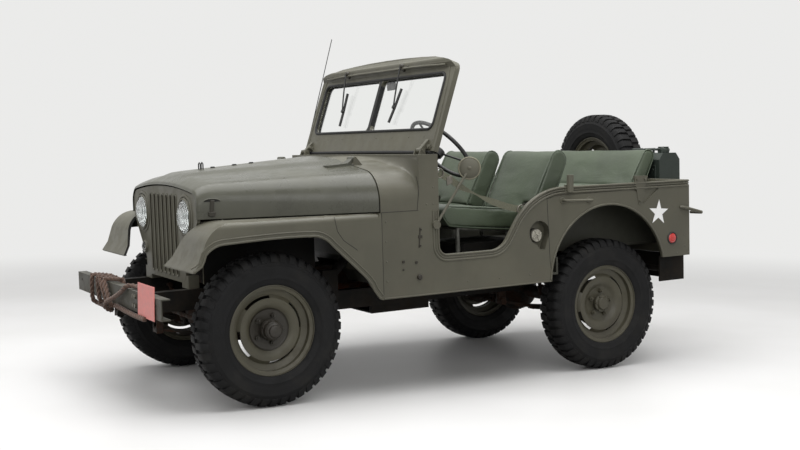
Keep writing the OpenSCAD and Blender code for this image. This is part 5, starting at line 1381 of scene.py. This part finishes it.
def stuffed(name, solid, seams, body, down, back, voxel=0.008, cap=0.018, pressure=4.0):
    """Remeshed cushion that swells between its pinned seams, but not on faces towards down or back."""
    verts, faces = solid
    me = bpy.data.meshes.new(name)
    me.from_pydata([tuple(v) for v in verts], [], faces)
    ob = bpy.data.objects.new(name, me)
    scene.collection.objects.link(ob)
    m = ob.modifiers.new("r", "REMESH")
    m.mode, m.voxel_size = "VOXEL", voxel
    dg = bpy.context.evaluated_depsgraph_get()
    new = bpy.data.meshes.new_from_object(ob.evaluated_get(dg))
    ob.modifiers.clear()
    ob.data = new
    rest = [v.co.copy() for v in new.vertices]
    normals = [v.normal.copy() for v in new.vertices]
    fixed = [n.dot(down) > 0.75 or (back is not None and n.dot(back) > 0.75) for n in normals]
    held = ob.vertex_groups.new(name="held")
    near = []
    for i, p in enumerate(rest):
        d = min(segment_distance(p, a, b) for line in seams for a, b in zip(line, line[1:]))
        near.append(d)
        held.add([i], 1.0 if fixed[i] or d < voxel * 1.3 else 0.0, "REPLACE")
    cl = ob.modifiers.new("cloth", "CLOTH")
    st = cl.settings
    st.quality = 5
    st.mass = 0.3
    st.use_pressure = True
    st.uniform_pressure_force = pressure
    st.effector_weights.gravity = 0
    st.tension_stiffness = st.compression_stiffness = 12
    st.bending_stiffness = 0.4
    st.vertex_group_mass = "held"
    cl.point_cache.frame_start, cl.point_cache.frame_end = 1, 20
    for step in range(1, 21):
        scene.frame_set(step)
    dg = bpy.context.evaluated_depsgraph_get()
    done = bpy.data.meshes.new_from_object(ob.evaluated_get(dg))
    moved = [v.co.copy() for v in done.vertices]
    ob.modifiers.clear()
    scene.frame_set(1)
    for i, v in enumerate(new.vertices):
        d = moved[i] - rest[i]
        if d.length > cap:
            d = d * (cap / d.length)
        # shallow settled hollows and creases running to the seams
        fine = Vector((rest[i].x * 30, rest[i].y * 9, rest[i].z * 14))
        crease = noise.noise(rest[i] * 7.0) * 0.0035 + noise.noise(fine) * 0.0016
        keep = min(1.0, near[i] / 0.05)
        v.co = rest[i] + d + normals[i] * (0 if fixed[i] else crease * keep)
    new.update()
    bm = bmesh.new()
    bm.from_mesh(new)
    for _ in range(3):
        bmesh.ops.smooth_vert(bm, verts=bm.verts, factor=0.5, use_axis_x=True, use_axis_y=True,
                              use_axis_z=True)
    bm.to_mesh(new)
    bm.free()
    new.materials.clear()
    new.materials.append(M["seat"])
    for p in new.polygons:
        p.use_smooth = True
    sm = ob.modifiers.new("s", "SUBSURF")
    sm.levels = sm.render_levels = 1
    dg = bpy.context.evaluated_depsgraph_get()
    ob.data = bpy.data.meshes.new_from_object(ob.evaluated_get(dg))
    ob.modifiers.clear()
    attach(ob, body)
    return ob


def cushion_outline(dx):
    return [(-560 + dx, 797), (-30 + dx, 842)] + arc(-32 + dx, 904, 42, -50, 80, 7) + [(-560 + dx, 888)]


def lean_points(foot, lean, l, t, n=8):
    """Side outline of a backrest with its rounded top, in body x and z."""
    a = math.radians(-lean)
    raw = [(-t, 0), (0, 0), (0, l - 50)] + arc(-t / 2, l - 51, t / 2, 0, 180, n) + [(-t, l - 50)]
    return [(foot[0] + x * math.cos(a) + z * math.sin(a), foot[1] - x * math.sin(a) + z * math.cos(a))
            for x, z in raw]


def loop3(outline, y):
    pts = [B(x, y, z) for x, z in outline]
    return pts + [pts[0]]


def piping(name, loops, body):
    parts = [tube_mesh(spline(lp[:-1], 0.02, True), 0.0048, 7, True) for lp in loops]
    return joined(name, parts, "piping", 80, body=body)


DOWN = Vector((0, 0, -1))


def back_of(lean):
    """Direction that a backrest's back face looks in."""
    a = math.radians(lean)
    return (B(-1, 0, 0) - B(0, 0, 0)).normalized() * math.cos(a) + DOWN * math.sin(a)


for node, body, sgn, dx in (("driver_seat", "chassis", 1, 0), ("passenger_seat", "passenger_seat_body", -1,
                                                               -70)):
    solids = soft_solids(node)
    ya, yb = sgn * 140, sgn * 620
    cush = cushion_outline(dx)
    bk = lean_points((-574 + dx, 900), 26, 372, 105)
    backdir = back_of(26)
    inset = 9 * sgn
    c_loops = [loop3(cush, ya + inset), loop3(cush, yb - inset)]
    b_loops = [loop3(bk, ya + inset), loop3(bk, yb - inset)]
    first = None
    for i, (solid, loops, back) in enumerate(zip(solids[:2], (c_loops, b_loops), (None, backdir))):
        ob = stuffed(node + ("_cushion", "_back")[i], solid, loops, body, DOWN, back)
        first = first or ob
    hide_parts(node)
    piping(node + "_piping", [c_loops[1], c_loops[0], b_loops[0], b_loops[1]], body)
solids = soft_solids("rear_seat")
bench = [(-1470, 885), (-1080, 885)] + arc(-1095, 940, 45, -60, 90, 7) + [(-1470, 973)]
bk = lean_points((-1436, 990), 29, 268, 85)
backdir = back_of(29)
loops_c = [loop3(bench, -441), loop3(bench, 441)]
loops_b = [loop3(bk, -441), loop3(bk, 441)]
pad = stuffed("rear_seat_pad", solids[0], loops_c + loops_b, "chassis", DOWN, backdir, 0.0105)
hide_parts("rear_seat")
piping("rear_seat_piping", loops_c + loops_b, "chassis")

# ---------------------------------------------------------------- stage, camera and light
floor_m = Stuff("studio_floor")
rad = floor_m.node("VectorMath")
rad.operation = "LENGTH"
floor_m.link(floor_m.scaled(1, 1, 0), rad.inputs[0])
PALE = (0.83, 0.83, 0.82, 1)
far = floor_m.remap(rad.outputs["Value"], 3.5, 9.0)
floor_m.set(Base_Color=floor_m.blend(floor_m.remap(floor_m.noise(0.7, 3), 0.3, 0.7), (0.68, 0.675, 0.665,
        1), (0.73, 0.725, 0.72, 1)), Roughness=0.5)
shown = floor_m.mixed(far, floor_m.bsdf, floor_m.node("Emission", Color=PALE, Strength=1.0))
# the floor throws less light back up than it shows
dim = floor_m.node("BsdfDiffuse", Color=(0.26, 0.26, 0.255, 1))


def seen_by(tree):
    """One for the rays that show the background: from the camera, off gloss and through glass."""
    path = tree.nodes.new("ShaderNodeLightPath")
    total = path.outputs["Is Camera Ray"]
    for kind in ("Is Glossy Ray", "Is Transmission Ray"):
        most = tree.nodes.new("ShaderNodeMath")
        most.operation = "MAXIMUM"
        tree.links.new(total, most.inputs[0])
        tree.links.new(path.outputs[kind], most.inputs[1])
        total = most.outputs[0]
    return total


floor_m.link(floor_m.mixed(seen_by(floor_m.t), dim, shown).outputs[0], floor_m.out.inputs[0])
me = bpy.data.meshes.new("studio_floor")
FLOOR_R = 60.0
me.from_pydata([(x, y, 0) for x, y in arc(0, 0, FLOOR_R, 0, 360, 64)[:64]], [], [tuple(range(64))])
me.materials.append(floor_m.mat)
floor = bpy.data.objects.new("studio_floor", me)
scene.collection.objects.link(floor)

world = bpy.data.worlds.new("studio")
scene.world = world
world.use_nodes = True
wt = world.node_tree
wt.nodes.clear()
w_out = wt.nodes.new("ShaderNodeOutputWorld")
w_lit = wt.nodes.new("ShaderNodeBackground")
w_lit.inputs[0].default_value = (1, 1, 1, 1)
w_lit.inputs[1].default_value = 0.42
w_seen = wt.nodes.new("ShaderNodeBackground")
w_seen.inputs[0].default_value = PALE
w_seen.inputs[1].default_value = 1.0
w_mix = wt.nodes.new("ShaderNodeMixShader")
wt.links.new(seen_by(wt), w_mix.inputs[0])
wt.links.new(w_lit.outputs[0], w_mix.inputs[1])
wt.links.new(w_seen.outputs[0], w_mix.inputs[2])
wt.links.new(w_mix.outputs[0], w_out.inputs[0])


def softbox(name, at, to, w, h, watts):
    la = bpy.data.lights.new(name, "AREA")
    la.shape, la.size, la.size_y, la.energy = "RECTANGLE", w, h, watts
    ob = bpy.data.objects.new(name, la)
    ob.location = at
    ob.rotation_mode = "QUATERNION"
    ob.rotation_quaternion = (Vector(to) - Vector(at)).to_track_quat("-Z", "Y")
    scene.collection.objects.link(ob)


softbox("top_box", (0.3, 0.5, 5.2), (0, 0, 0), 7.0, 5.0, 420)
softbox("side_box", (2.0, 7.0, 3.2), (0, 0, 0.8), 6.0, 3.0, 140)
softbox("front_box", (7.0, -1.0, 3.0), (0.5, 0, 0.8), 4.0, 3.0, 60)

cam = bpy.data.cameras.new("camera")
cam.sensor_width = 36
cam.lens = 50.634
cam.clip_end = 200
cam_ob = bpy.data.objects.new("camera", cam)
scene.collection.objects.link(cam_ob)
cam_ob.location = (3.301, 5.648, 1.198)
cam_ob.rotation_mode = "QUATERNION"
yaw, pitch, roll = math.radians(-119.84), math.radians(-3.37), math.radians(0.1)
ahead = Vector((math.cos(yaw) * math.cos(pitch), math.sin(yaw) * math.cos(pitch), math.sin(pitch)))
cam_ob.rotation_quaternion = ahead.to_track_quat("-Z", "Y") @ Quaternion((0, 0, 1), roll)
scene.camera = cam_ob

# ---------------------------------------------------------------- materials of the CAD nodes that still show
for row in frame["record"]["subparts"]:
    ob = frame["nodes"][row["node"]]
    if not ob.hide_render:
        ob.data.materials.clear()
        ob.data.materials.append(M[SLOTS[row["material_slot"]]])
bpy.context.view_layer.update()
